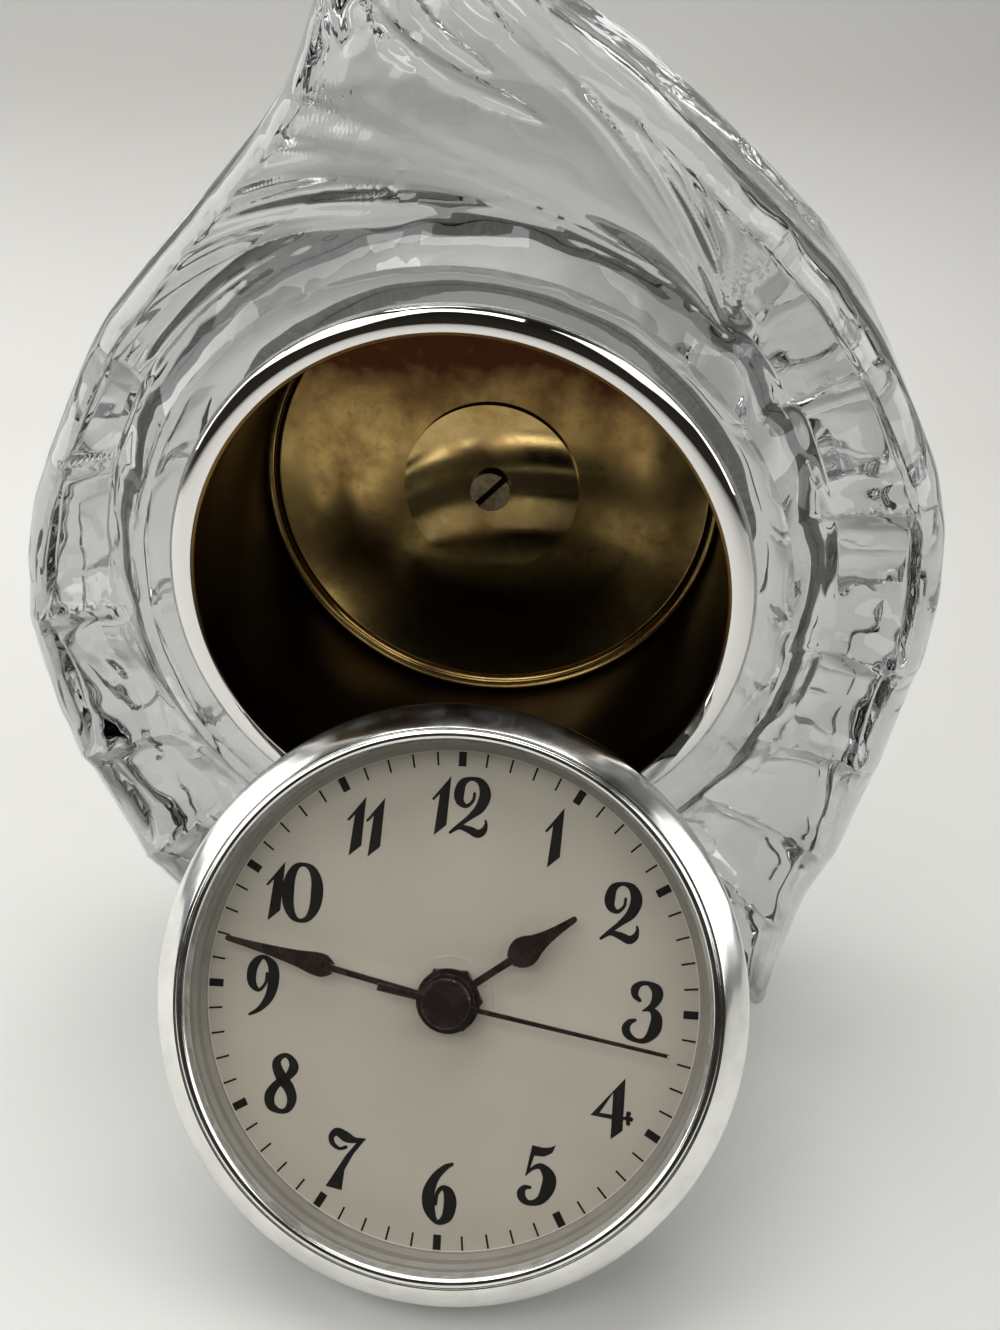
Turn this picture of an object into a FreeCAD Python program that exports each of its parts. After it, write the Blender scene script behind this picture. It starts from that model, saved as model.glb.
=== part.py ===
"""Crystal mantel clock whose quartz insert clock stands taken out, leaning in front of it.

Millimetres. The origin is the centre of the flat base, +Z is up and the front faces -Y. The
case pieces round the bore are drawn about the bore's own axis, with local Z out of its mouth
and zero on the rim. The insert's pieces are drawn about the dial's axis, with local Z towards
the viewer, local Y towards twelve o'clock and zero on the face of the dial.
"""

import FreeCAD, Part
import math
import os
import Sketcher

SIZES = {
    # crystal body
    "body_width": 152,
    "body_height": 196,
    "body_depth": 44,
    "bore_height": 95,
    "rim_forward_offset": 28,
    "ledge_radius": 47.5,
    "ledge_depth": 2,
    "collar_radius": 52,
    "collar_depth": 0.5,
    "groove_radius": 57,
    "groove_depth": 4.5,
    "edge_bevel_width": 8,
    "back_bevel_width": 4,
    "pleat_depth": 3.2,
    # cup, its gasket and its fastening
    "rim_radius": 46.5,
    "rim_round_radius": 1.8,
    "rim_thickness": 1.6,
    "cup_radius": 42,
    "cup_wall_thickness": 0.8,
    "cup_depth": 46.5,
    "lip_depth": 0.3,
    "lip_width": 0.9,
    "floor_bead_width": 1,
    "gasket_radius": 46,
    "disc_radius": 16,
    "disc_thickness": 1,
    "screw_radius": 2,
    "screw_head_radius": 3.65,
    "screw_head_height": 1.6,
    "screw_slot_width": 1.1,
    "screw_slot_depth": 0.8,
    "screw_length": 5.6,
    "cover_radius": 47,
    "cover_thickness": 2,
    "cover_boss_radius": 6,
    "seal_thickness": 0.4,
    # insert as a whole
    "insert_aside_offset": 3.2,
    "can_radius": 40.5,
    "can_wall_thickness": 1,
    "can_depth": 20,
    "can_back_thickness": 1.2,
    "can_round_radius": 1.5,
    "flange_radius": 43.2,
    "flange_front_height": 0.9,
    "flange_thickness": 1.1,
    "window_width": 56.4,
    "window_corner_width": 3.5,
    "band_radius": 41.6,
    "band_front_depth": 4,
    "band_width": 6,
    "bezel_radius": 45,
    "bezel_soft_width": 0.4,
    "bezel_shoulder_height": 3.2,
    "bezel_crest_radius": 40.7,
    "bezel_front_height": 7.5,
    "bezel_lip_radius": 39.5,
    "lens_radius": 40,
    "lens_rear_height": 5.5,
    "lens_thickness": 1.4,
    "lens_seal_width": 0.9,
    "lens_seal_thickness": 0.3,
    "ring_foot_radius": 37.8,
    "ring_foot_height": 1,
    "ring_step_radius": 38.5,
    "ring_step_height": 3.4,
    "ring_slope_height": 0.5,
    "dial_radius": 40,
    "dial_thickness": 0.6,
    # movement case
    "case_width": 55,
    "case_corner_width": 1.2,
    "case_wall_thickness": 1.2,
    "case_front_depth": 8,
    "case_back_depth": 8.8,
    "train_floor_depth": 10.4,
    "bay_ceiling_depth": 11.4,
    "plate_thickness": 0.7,
    "bush_radius": 4,
    "bush_flange_radius": 5,
    "bush_flange_thickness": 0.4,
    "bush_front_height": 1.9,
    "washer_radius": 6.5,
    "washer_thickness": 0.3,
    "nut_width": 9,
    "nut_thickness": 1.2,
    "post_radius": 2,
    "slim_post_radius": 1,
    "motion_post_radius": 0.8,
    # arbors and pipes
    "pivot_radius": 0.4,
    "arbor_radius": 0.5,
    "second_shaft_radius": 0.75,
    "minute_pipe_radius": 1.4,
    "hour_pipe_radius": 2.2,
    "motion_arm_length": 7.2,
    "third_arm_length": 9,
    "fifth_arm_length": 6.72,
    "rotor_arm_length": 6.125,
    "wheel_thickness": 0.7,
    "pinion_overhang_length": 0.15,
    "hour_wheel_depth": 3.2,
    "motion_wheel_depth": 4.4,
    "centre_wheel_depth": 6,
    "third_wheel_depth": 7.5,
    "second_wheel_depth": 10.6,
    "fifth_wheel_depth": 11.8,
    "magnet_radius": 2.9,
    "magnet_front_depth": 12.4,
    "magnet_length": 2,
    "knob_radius": 5,
    "knob_thickness": 1.9,
    "knob_shaft_radius": 1.3,
    "knob_gap_width": 0.1,
    # stator, coil, board and battery
    "stator_depth": 13.8,
    "stator_thickness": 0.8,
    "stator_bar_width": 5,
    "stator_ring_radius": 4.8,
    "stator_hole_radius": 3.3,
    "stator_left_length": 18,
    "stator_right_length": 6.5,
    "core_height": 21,
    "core_width": 2.4,
    "spool_radius": 2.5,
    "spool_bore_radius": 1.5,
    "spool_wall_thickness": 0.3,
    "spool_flange_thickness": 0.5,
    "spool_gap_width": 0.3,
    "board_left_offset": 9,
    "board_bottom_offset": 14.6,
    "board_width": 14,
    "board_height": 10,
    "board_thickness": 1,
    "crystal_can_radius": 1,
    "crystal_can_length": 6,
    "battery_radius": 7.1,
    "battery_length": 50,
    "battery_nub_radius": 2.6,
    "battery_nub_length": 1,
    "contact_thickness": 0.4,
    "contact_width": 9,
    # hands
    "hour_hand_height": 2.1,
    "minute_hand_height": 3.1,
    "second_hand_height": 4.1,
    "hand_thickness": 0.35,
    "hour_hub_radius": 4.9,
    "minute_hub_radius": 4.2,
    "hour_hand_length": 23.2,
    "hour_bulb_offset": 13.4,
    "hour_bulb_radius": 2.3,
    "minute_hand_length": 35.4,
    "minute_bulb_offset": 19.8,
    "minute_bulb_radius": 1.76,
    "hand_stem_width": 1,
    "second_hand_length": 33.6,
    "second_tail_length": 10.7,
    "second_hand_width": 0.7,
    "second_hub_radius": 2,
    "cap_radius": 3.75,
    "cap_thickness": 0.8,
    "cap_bevel_width": 0.25,
    # clearances
    "running_clearance": 0.07,
    "seat_clearance": 0.1,
    "slack_clearance": 0.3,
    "cut_overrun_length": 2,
}
INSERT_LEAN = 32.3
SLOT_ANGLE = 45
HOUR_ANGLE = 53.5
MINUTE_ANGLE = 281.7
SECOND_ANGLE = 98.9
MOTION_BEARING = 45
THIRD_BEARING = 135
FIFTH_BEARING = 90
KNOB_TEETH, MOTION_TEETH, CANNON_TEETH = 18, 36, 12
MOTION_PINION_TEETH, HOUR_TEETH = 10, 40
CENTRE_TEETH, THIRD_PINION_TEETH = 60, 8
THIRD_TEETH, SECOND_PINION_TEETH = 64, 8
SECOND_TEETH, FIFTH_PINION_TEETH = 40, 8
FIFTH_TEETH, ROTOR_PINION_TEETH = 42, 7

# Tooth form: shares of the module above and below the pitch circle, and of a tooth's step.
TIP_SHARE = 0.75
ROOT_SHARE = 1.05
TIP_HALF_SHARE = 0.1
ROOT_HALF_SHARE = 0.25

# The front view's outline, clockwise from the tip of the flame: shares of half the body's
# width, to the right of the bore's axis, and of the body's height, above the base.
OUTLINE_SHARES = (
    (-0.23, 1.0), (-0.13, 0.995), (-0.03, 0.967), (0.06, 0.942), (0.154, 0.915), (0.31, 0.877),
    (0.455, 0.831), (0.607, 0.779), (0.722, 0.737), (0.818, 0.689), (0.896, 0.634), (0.955, 0.588),
    (0.99, 0.537), (1.0, 0.48), (0.986, 0.43), (0.963, 0.385), (0.929, 0.325), (0.899, 0.275),
    (0.872, 0.22), (0.84, 0.19), (0.812, 0.165), (0.789, 0.123), (0.767, 0.067), (0.753, 0.022),
    (0.75, -0.05), (0.5, -0.05), (0.25, -0.05), (0, -0.05), (-0.25, -0.05), (-0.5, -0.05),
    (-0.75, -0.05), (-0.753, 0.022), (-0.757, 0.067), (-0.762, 0.11), (-0.813, 0.158),
    (-0.868, 0.196), (-0.905, 0.23), (-0.942, 0.271), (-0.983, 0.323), (-1.0, 0.37),
    (-1.0, 0.42), (-0.986, 0.479), (-0.95, 0.53), (-0.904, 0.568), (-0.843, 0.617),
    (-0.782, 0.66), (-0.732, 0.689), (-0.616, 0.739), (-0.495, 0.788), (-0.386, 0.834),
    (-0.324, 0.866), (-0.285, 0.905), (-0.262, 0.935), (-0.248, 0.965),
)
# Clock bearings of the pleat ridges, clockwise from straight above the bore.
RIDGES = (38, 57.5, 76, 99, 115, 129.5, 142, 155, 170, 190, 207, 223, 239.5, 262, 287, 305, 326, 352)
# Shares of the way from the collar's groove to the bevelled edge at which a section has a point.
FACE_SHARES = (0.3, 0.65, 1.0)
CREST_SHARES = (1.0, 0.75, 0.4)
EDGE_FRONT_SHARE = 0.2
EDGE_BACK_SHARE = 0.8
# How far each face draws in for every step that the flame reaches past the body's half width.
TIP_TAPER_SHARE = 0.35
BULB_NECK_SHARE = 0.42
BULB_SHOULDER_SHARE = 0.9
NECK_WIDTH_SHARE = 0.62
SOFT_SHARE = 0.3

doc = FreeCAD.newDocument("MantelClock")
sheet = doc.addObject("Spreadsheet::Sheet", "Sizes")
for row, (alias, amount) in enumerate(SIZES.items(), start=1):
    sheet.set("A%d" % row, alias)
    sheet.set("B%d" % row, str(amount))
    sheet.setAlias("B%d" % row, alias)
doc.recompute()


class Size:
    """A length together with the sheet expression that it comes from."""

    def __init__(self, value, text):
        self.value = value
        self.text = text

    def __add__(self, other):
        return Size(self.value + other.value, "(%s + %s)" % (self.text, other.text))

    def __sub__(self, other):
        return Size(self.value - other.value, "(%s - %s)" % (self.text, other.text))

    def __mul__(self, factor):
        return Size(self.value * factor, "(%s * %.9f)" % (self.text, factor))

    def __neg__(self):
        return self * -1


class SizeTable:
    """Reads every aliased cell of the sheet as a Size."""

    def __getattr__(self, alias):
        return Size(float(sheet.get(alias)), "Sizes." + alias)


S = SizeTable()
ZERO = Size(0, "0")
PIECES = []


class Frame:
    """A place in the clock: an origin in Sizes and a tilt about X in degrees."""

    def __init__(self, x, y, z, tilt):
        self.origin = (x, y, z)
        self.tilt = tilt
        self.sine = math.sin(math.radians(tilt))
        self.cosine = math.cos(math.radians(tilt))

    def at(self, x, y, z):
        """The clock's own coordinates of a point given in this frame."""
        ox, oy, oz = self.origin
        across = oy + y * self.cosine - z * self.sine
        up = oz + y * self.sine + z * self.cosine
        return ox + x, across, up


def finish(piece, frame, offset=(ZERO, ZERO, ZERO), turn=None):
    """Places a piece in its frame, with an own turn first, and counts it as a sub-part."""
    rotation = FreeCAD.Rotation(FreeCAD.Vector(1, 0, 0), frame.tilt)
    if turn is not None:
        rotation = rotation.multiply(turn)
    place = frame.at(*offset)
    base = FreeCAD.Vector(*(part.value for part in place))
    piece.Placement = FreeCAD.Placement(base, rotation)
    for letter, part in zip("xyz", place):
        piece.setExpression("Placement.Base." + letter, part.text)
    PIECES.append(piece)


def turned_by(degrees, axis=(0, 0, 1)):
    return FreeCAD.Rotation(FreeCAD.Vector(*axis), degrees)


def new_body(name):
    body = doc.addObject("PartDesign::Body", name)
    body.Label = name
    return body


def new_sketch(body, role, level=ZERO):
    sketch = body.newObject("Sketcher::SketchObject", body.Name + "_sketch")
    plane = [part for part in body.Origin.OriginFeatures if part.Role == role][0]
    sketch.AttachmentSupport = [(plane, "")]
    sketch.MapMode = "FlatFace"
    sketch.setExpression("AttachmentOffset.Base.z", level.text)
    return sketch


def bind(sketch, constraint, size):
    index = sketch.addConstraint(constraint)
    sketch.setExpression("Constraints[%d]" % index, size.text)


def draw_polygon(sketch, points):
    """A closed outline whose corners are bound to the sheet."""
    first = sketch.GeometryCount
    count = len(points)
    corners = [FreeCAD.Vector(x.value, y.value, 0) for x, y in points]
    for index in range(count):
        sketch.addGeometry(Part.LineSegment(corners[index], corners[(index + 1) % count]))
    for index in range(count):
        line = first + index
        follower = first + (index + 1) % count
        sketch.addConstraint(Sketcher.Constraint("Coincident", line, 2, follower, 1))
    for index, (x, y) in enumerate(points):
        line = first + index
        bind(sketch, Sketcher.Constraint("DistanceX", -1, 1, line, 1, x.value), x)
        bind(sketch, Sketcher.Constraint("DistanceY", -1, 1, line, 1, y.value), y)


def draw_circle(sketch, radius, x=ZERO, y=ZERO):
    centre = FreeCAD.Vector(x.value, y.value, 0)
    up = FreeCAD.Vector(0, 0, 1)
    ring = sketch.addGeometry(Part.Circle(centre, up, radius.value))
    bind(sketch, Sketcher.Constraint("DistanceX", -1, 1, ring, 3, x.value), x)
    bind(sketch, Sketcher.Constraint("DistanceY", -1, 1, ring, 3, y.value), y)
    bind(sketch, Sketcher.Constraint("Radius", ring, radius.value), radius)


def lathe(name, profile, body=None):
    """A turned piece: profile is a closed list of radius and level pairs."""
    body = body or new_body(name)
    sketch = new_sketch(body, "XZ_Plane")
    draw_polygon(sketch, profile)
    turning = body.newObject("PartDesign::Revolution", name + "_turning")
    turning.Profile = sketch
    turning.ReferenceAxis = (sketch, ["V_Axis"])
    turning.Angle = 360
    return body


def ring(name, inner, outer, rear, front):
    return lathe(name, [(inner, rear), (outer, rear), (outer, front), (inner, front)])


def pad(body, level, thickness, polygon=None, circles=()):
    """Adds a slab whose rear is at level. Circles inside the outline are holes."""
    sketch = new_sketch(body, "XY_Plane", level)
    if polygon:
        draw_polygon(sketch, polygon)
    for circle in circles:
        draw_circle(sketch, *circle)
    slab = body.newObject("PartDesign::Pad", body.Name + "_pad")
    slab.Profile = sketch
    slab.Length = thickness.value
    slab.setExpression("Length", thickness.text)
    return slab


def pocket(body, level, depth, polygon=None, circles=()):
    """Cuts from level down by depth."""
    sketch = new_sketch(body, "XY_Plane", level)
    if polygon:
        draw_polygon(sketch, polygon)
    for circle in circles:
        draw_circle(sketch, *circle)
    hollow = body.newObject("PartDesign::Pocket", body.Name + "_pocket")
    hollow.Profile = sketch
    hollow.Length = depth.value
    hollow.setExpression("Length", depth.text)
    return hollow


def rectangle(left, bottom, right, top):
    return [(left, bottom), (right, bottom), (right, top), (left, top)]


def cut_square(half, corner):
    """A square about the centre with its corners cut off."""
    inner = half - corner
    return [
        (inner, -half), (half, -inner), (half, inner), (inner, half),
        (-inner, half), (-half, inner), (-half, -inner), (-inner, -half),
    ]


def made_shape(name, shape):
    piece = doc.addObject("Part::Feature", name)
    piece.Label = name
    piece.Shape = shape
    return piece


def outline_corners():
    """Bearing in degrees and distance from the bore's axis of every outline point."""
    half = S.body_width.value / 2
    corners = []
    for across, up in OUTLINE_SHARES:
        x = across * half
        z = up * S.body_height.value - S.bore_height.value
        bearing = math.degrees(math.atan2(x, z)) % 360
        corners.append((bearing, x, z))
    return sorted(corners)


def section_bearings(corners):
    """The outline's own bearings and the ridges, with the wide steps between them halved."""
    bearings = sorted({round(corner[0], 3) for corner in corners} | set(RIDGES))
    filled = []
    for index, bearing in enumerate(bearings):
        following = bearings[(index + 1) % len(bearings)]
        step = (following - bearing) % 360
        parts = max(1, math.ceil(step / 5))
        filled += [(bearing + step * part / parts) % 360 for part in range(parts)]
    return sorted(filled)


def outline_distance(corners, bearing):
    """How far from the bore's axis the outline lies on a bearing."""
    dx = math.sin(math.radians(bearing))
    dz = math.cos(math.radians(bearing))
    for index, (first, x0, z0) in enumerate(corners):
        second, x1, z1 = corners[(index + 1) % len(corners)]
        if (bearing - first) % 360 > (second - first) % 360:
            continue
        ex, ez = x1 - x0, z1 - z0
        return (x0 * ez - z0 * ex) / (dx * ez - dz * ex)
    raise ValueError("no outline at bearing %s" % bearing)


def pleat(bearing):
    """Zero on a ridge and one in the middle of the hollow between two ridges."""
    for index, ridge in enumerate(RIDGES):
        following = RIDGES[(index + 1) % len(RIDGES)]
        span = (following - ridge) % 360
        along = (bearing - ridge) % 360
        if along <= span:
            return math.sin(math.pi * along / span)
    raise ValueError("no pleat at bearing %s" % bearing)


def section(corners, bearing, bore):
    """The body's closed section on one bearing, as points from front to back."""
    back = S.body_depth.value / 2
    front = -back
    rim = -S.rim_forward_offset.value
    edge = outline_distance(corners, bearing)
    taper = max(0, edge - S.body_width.value / 2) * TIP_TAPER_SHARE
    front += taper
    back -= taper
    hollow = S.pleat_depth.value * pleat(bearing)
    groove = S.groove_radius.value
    bevel = S.edge_bevel_width.value
    points = [
        (bore, rim + S.ledge_depth.value),
        (S.ledge_radius.value, rim + S.ledge_depth.value),
        (S.collar_radius.value, rim + S.collar_depth.value),
        (groove, rim + S.groove_depth.value + hollow * CREST_SHARES[-1]),
    ]
    for share, crest in zip(FACE_SHARES, CREST_SHARES[::-1]):
        points.append((groove + (edge - bevel - groove) * share, front + hollow * crest))
    points += [
        (edge, front + (back - front) * EDGE_FRONT_SHARE),
        (edge, front + (back - front) * EDGE_BACK_SHARE),
        (edge - S.back_bevel_width.value, back),
        (bore, back),
    ]
    dx = math.sin(math.radians(bearing))
    dz = math.cos(math.radians(bearing))
    height = S.bore_height.value
    return [FreeCAD.Vector(r * dx, y, height + r * dz) for r, y in points]


def crystal_body():
    """Ruled faces between radial sections, cut flat at the base."""
    bore = (S.cup_radius + S.cup_wall_thickness + S.slack_clearance).value
    corners = outline_corners()
    wires = []
    for bearing in section_bearings(corners):
        points = section(corners, bearing, bore)
        wires.append(Part.makePolygon(points + points[:1]))
    ring_solid = Part.makeLoft(wires, True, True, True)
    span = S.body_width.value + S.body_height.value
    corner = FreeCAD.Vector(-span / 2, -span / 2, 0)
    above = Part.makeBox(span, span, span, corner)
    solid = ring_solid.common(above).Solids[0]
    finish(made_shape("crystal_body", solid), Frame(ZERO, ZERO, ZERO, 0))


BORE = Frame(ZERO, -S.rim_forward_offset, S.bore_height, 90)


def case_pieces():
    """The cup in the crystal's bore, and what clamps it there."""
    back = S.rim_forward_offset + S.body_depth * 0.5
    hole = S.screw_radius + S.seat_clearance
    wall = S.cup_radius
    outer = S.cup_radius + S.cup_wall_thickness
    annulus = wall + S.lip_width
    bead = S.floor_bead_width
    soft = S.rim_round_radius * SOFT_SHARE
    cup_back = -(S.cup_depth + S.cup_wall_thickness)
    cup = lathe("cup_shell", [
        (hole, cup_back), (outer, cup_back), (outer, -S.rim_thickness),
        (S.rim_radius, -S.rim_thickness), (S.rim_radius - soft, -soft),
        (S.rim_radius - S.rim_round_radius, ZERO),
        (annulus, ZERO), (wall, -S.lip_depth), (wall, bead - S.cup_depth),
        (wall - bead * SOFT_SHARE, bead * SOFT_SHARE - S.cup_depth), (wall - bead, -S.cup_depth),
        (hole, -S.cup_depth),
    ])
    finish(cup, BORE)
    gasket_inner = outer + S.slack_clearance
    gasket = ring("rim_gasket", gasket_inner, S.gasket_radius, -S.ledge_depth, -S.rim_thickness)
    finish(gasket, BORE)
    disc_front = S.disc_thickness - S.cup_depth
    finish(ring("clamp_disc", hole, S.disc_radius, -S.cup_depth, disc_front), BORE)
    head = disc_front + S.screw_head_height
    screw = lathe("clamp_screw", [
        (ZERO, disc_front - S.screw_length), (S.screw_radius, disc_front - S.screw_length),
        (S.screw_radius, disc_front), (S.screw_head_radius, disc_front),
        (S.screw_head_radius, head), (ZERO, head),
    ])
    slot = rectangle(
        -(S.screw_head_radius + S.cut_overrun_length), -S.screw_slot_width * 0.5,
        S.screw_head_radius + S.cut_overrun_length, S.screw_slot_width * 0.5,
    )
    pocket(screw, head, S.screw_slot_depth, slot)
    finish(screw, BORE, turn=turned_by(SLOT_ANGLE))
    seal_front = -back
    seal_rear = seal_front - S.seal_thickness
    seal_inner = outer + S.slack_clearance + S.slack_clearance
    finish(ring("rear_seal", seal_inner, S.cover_radius, seal_rear, seal_front), BORE)
    boss_floor = disc_front - S.screw_length - S.slack_clearance
    cover_rear = seal_rear - S.cover_thickness
    cover = lathe("rear_cover", [
        (ZERO, cover_rear), (S.cover_radius, cover_rear), (S.cover_radius, seal_rear),
        (S.cover_boss_radius, seal_rear), (S.cover_boss_radius, cup_back), (hole, cup_back),
        (hole, boss_floor), (ZERO, boss_floor),
    ])
    finish(cover, BORE)


LEAN_SINE = math.sin(math.radians(INSERT_LEAN))
LEAN_COSINE = math.cos(math.radians(INSERT_LEAN))
INSERT_HEIGHT = (
    (S.can_depth - S.can_round_radius) * LEAN_SINE
    + (S.can_radius - S.can_round_radius) * LEAN_COSINE
    + S.can_round_radius
)


def leaning_reach():
    """How far the dial's centre stands off the rim when the can's rear edge meets the mouth."""
    worn = S.can_round_radius.value * SOFT_SHARE
    radius = S.can_radius.value - worn
    depth = S.can_depth.value - worn
    aside = abs(S.insert_aside_offset.value)
    drop = INSERT_HEIGHT.value - depth * LEAN_SINE - S.bore_height.value

    def outside_mouth(share):
        x = aside + radius * math.sqrt(1 - share ** 2)
        z = drop + radius * share * LEAN_COSINE
        return math.hypot(x, z) > S.cup_radius.value

    low, high = 0, 1
    for _ in range(40):
        middle = (low + high) / 2
        if outside_mouth(middle):
            low = middle
        else:
            high = middle
    return radius * LEAN_SINE * high + depth * LEAN_COSINE


REACH_SHARE = leaning_reach() / S.can_radius.value
INSERT_FORWARD = S.rim_forward_offset + S.can_radius * REACH_SHARE + S.seat_clearance
INSERT = Frame(S.insert_aside_offset, -INSERT_FORWARD, INSERT_HEIGHT, 90 - INSERT_LEAN)


def insert_shell():
    """Bezel, lens and what lies between the lens and the can."""
    lens_front = S.lens_rear_height + S.lens_thickness
    recess = S.lens_radius + S.seat_clearance
    flange_rear = S.flange_front_height - S.flange_thickness
    soft = S.bezel_soft_width
    shell = lathe("bezel", [
        (recess, S.flange_front_height), (S.flange_radius + S.seat_clearance, S.flange_front_height),
        (S.flange_radius + S.seat_clearance, flange_rear), (S.bezel_radius - soft, flange_rear),
        (S.bezel_radius, flange_rear + soft), (S.bezel_radius, S.bezel_shoulder_height),
        (S.bezel_radius - soft, S.bezel_shoulder_height + soft),
        (S.bezel_crest_radius + soft, S.bezel_front_height - soft),
        (S.bezel_crest_radius, S.bezel_front_height), (S.bezel_lip_radius + soft, S.bezel_front_height),
        (S.bezel_lip_radius, S.bezel_front_height - soft), (S.bezel_lip_radius, lens_front),
        (recess, lens_front),
    ])
    finish(shell, INSERT)
    finish(ring("lens", ZERO, S.lens_radius, S.lens_rear_height, lens_front), INSERT)
    seal_rear = S.lens_rear_height - S.lens_seal_thickness
    seal_inner = S.lens_radius - S.lens_seal_width
    finish(ring("lens_seal", seal_inner, S.lens_radius, seal_rear, S.lens_rear_height), INSERT)
    slope = S.ring_slope_height
    reflector = lathe("reflector_ring", [
        (S.ring_foot_radius, ZERO), (S.lens_radius, ZERO), (S.lens_radius, seal_rear),
        (seal_inner, seal_rear), (seal_inner, S.ring_step_height + slope),
        (S.ring_step_radius, S.ring_step_height), (S.ring_step_radius, S.ring_foot_height + slope),
        (S.ring_foot_radius, S.ring_foot_height),
    ])
    finish(reflector, INSERT)
    hole = S.bush_radius + S.seat_clearance
    finish(ring("dial", hole, S.dial_radius, -S.dial_thickness, ZERO), INSERT)


def insert_can():
    """The can behind the dial, with a window for the movement, and its rubber band."""
    seat = S.dial_radius + S.seat_clearance
    inner = S.can_radius - S.can_wall_thickness
    flange_rear = S.flange_front_height - S.flange_thickness
    near = S.can_round_radius * SOFT_SHARE
    back_inside = S.can_back_thickness - S.can_depth
    can = lathe("insert_can", [
        (seat, S.flange_front_height), (S.flange_radius, S.flange_front_height),
        (S.flange_radius, flange_rear),
        (S.can_radius, flange_rear), (S.can_radius, S.can_round_radius - S.can_depth),
        (S.can_radius - near, near - S.can_depth), (S.can_radius - S.can_round_radius, -S.can_depth),
        (ZERO, -S.can_depth), (ZERO, back_inside), (inner, back_inside),
        (inner, -S.dial_thickness), (seat, -S.dial_thickness),
    ])
    window = cut_square(S.window_width * 0.5, S.window_corner_width)
    pocket(can, back_inside, S.can_back_thickness + S.cut_overrun_length, window)
    finish(can, INSERT)
    band = ring(
        "grip_band", S.can_radius, S.band_radius,
        -(S.band_front_depth + S.band_width), -S.band_front_depth,
    )
    finish(band, INSERT)


def polar(distance, bearing):
    """Local X and Y of a point at a distance and a bearing from the X axis."""
    angle = math.radians(bearing)
    return distance * math.cos(angle), distance * math.sin(angle)


CASE_FRONT = -S.dial_thickness
CASE_JOINT = CASE_FRONT - S.case_front_depth
CASE_REAR = CASE_JOINT - S.case_back_depth
FRONT_FLOOR = CASE_FRONT - S.case_wall_thickness
BACK_FLOOR = CASE_REAR + S.case_wall_thickness
PLATE_REAR = CASE_JOINT - S.plate_thickness
PIVOT_HOLE = S.pivot_radius + S.running_clearance
MOTION_AXIS = polar(S.motion_arm_length, MOTION_BEARING)
KNOB_STRETCH = (KNOB_TEETH + MOTION_TEETH) / (MOTION_TEETH + CANNON_TEETH)
KNOB_AXIS = polar(S.motion_arm_length + S.motion_arm_length * KNOB_STRETCH, MOTION_BEARING)
THIRD_AXIS = polar(S.third_arm_length, THIRD_BEARING)
FIFTH_AXIS = polar(S.fifth_arm_length, FIFTH_BEARING)
ROTOR_AXIS = polar(S.fifth_arm_length + S.rotor_arm_length, FIFTH_BEARING)
WHEEL_FRONTS = {
    "hour": -S.hour_wheel_depth + S.wheel_thickness,
    "motion": -S.motion_wheel_depth + S.wheel_thickness,
    "centre": -S.centre_wheel_depth + S.wheel_thickness,
    "third": -S.third_wheel_depth + S.wheel_thickness,
    "second": -S.second_wheel_depth + S.wheel_thickness,
    "fifth": -S.fifth_wheel_depth + S.wheel_thickness,
}


def movement_cases():
    """The two halves of the movement's box: a room for the train and a bay for the battery."""
    half = S.case_width * 0.5
    inside = half - S.case_wall_thickness
    outline = cut_square(half, S.case_corner_width)
    train_room = rectangle(-inside, -S.train_floor_depth, inside, inside)
    bay = rectangle(-inside, -inside, inside, -S.bay_ceiling_depth)

    front = new_body("movement_front_case")
    pad(front, CASE_JOINT, S.case_front_depth, outline)
    pocket(front, CASE_JOINT + S.case_front_depth - S.case_wall_thickness, S.case_front_depth, train_room)
    pocket(front, CASE_JOINT + S.case_front_depth - S.case_wall_thickness, S.case_front_depth, bay)
    bush_hole = S.bush_radius + S.seat_clearance
    pocket(front, CASE_FRONT, S.case_wall_thickness + S.cut_overrun_length, circles=[(bush_hole,)])
    slack = S.slack_clearance
    for axis, radius, bore, top in (
        (THIRD_AXIS, S.post_radius, PIVOT_HOLE, WHEEL_FRONTS["centre"] + slack + slack),
        (KNOB_AXIS, S.post_radius, PIVOT_HOLE, WHEEL_FRONTS["motion"] + slack),
    ):
        pad(front, top, FRONT_FLOOR - top, circles=[(radius, *axis), (bore, *axis)])
    motion_top = WHEEL_FRONTS["centre"] + slack
    pad(front, motion_top, FRONT_FLOOR - motion_top, circles=[(S.motion_post_radius, *MOTION_AXIS)])
    finish(front, INSERT)

    back = new_body("movement_back_case")
    pad(back, CASE_REAR, S.case_back_depth, outline)
    pocket(back, CASE_JOINT, S.case_back_depth - S.case_wall_thickness, train_room)
    pocket(back, CASE_JOINT, S.case_back_depth + S.cut_overrun_length, bay)
    knob_hole = S.knob_shaft_radius + S.running_clearance
    pocket(back, BACK_FLOOR, S.case_wall_thickness + S.cut_overrun_length, circles=[(knob_hole, *KNOB_AXIS)])
    magnet_rear = -(S.magnet_front_depth + S.magnet_length)
    for axis, radius, top in (
        ((ZERO, ZERO), S.slim_post_radius, -S.second_wheel_depth - S.slack_clearance - S.slack_clearance),
        (FIFTH_AXIS, S.slim_post_radius, -S.fifth_wheel_depth - S.slack_clearance),
        (ROTOR_AXIS, S.post_radius, magnet_rear - S.slack_clearance),
    ):
        pad(back, BACK_FLOOR, top - BACK_FLOOR, circles=[(radius, *axis), (PIVOT_HOLE, *axis)])
    finish(back, INSERT)


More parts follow.
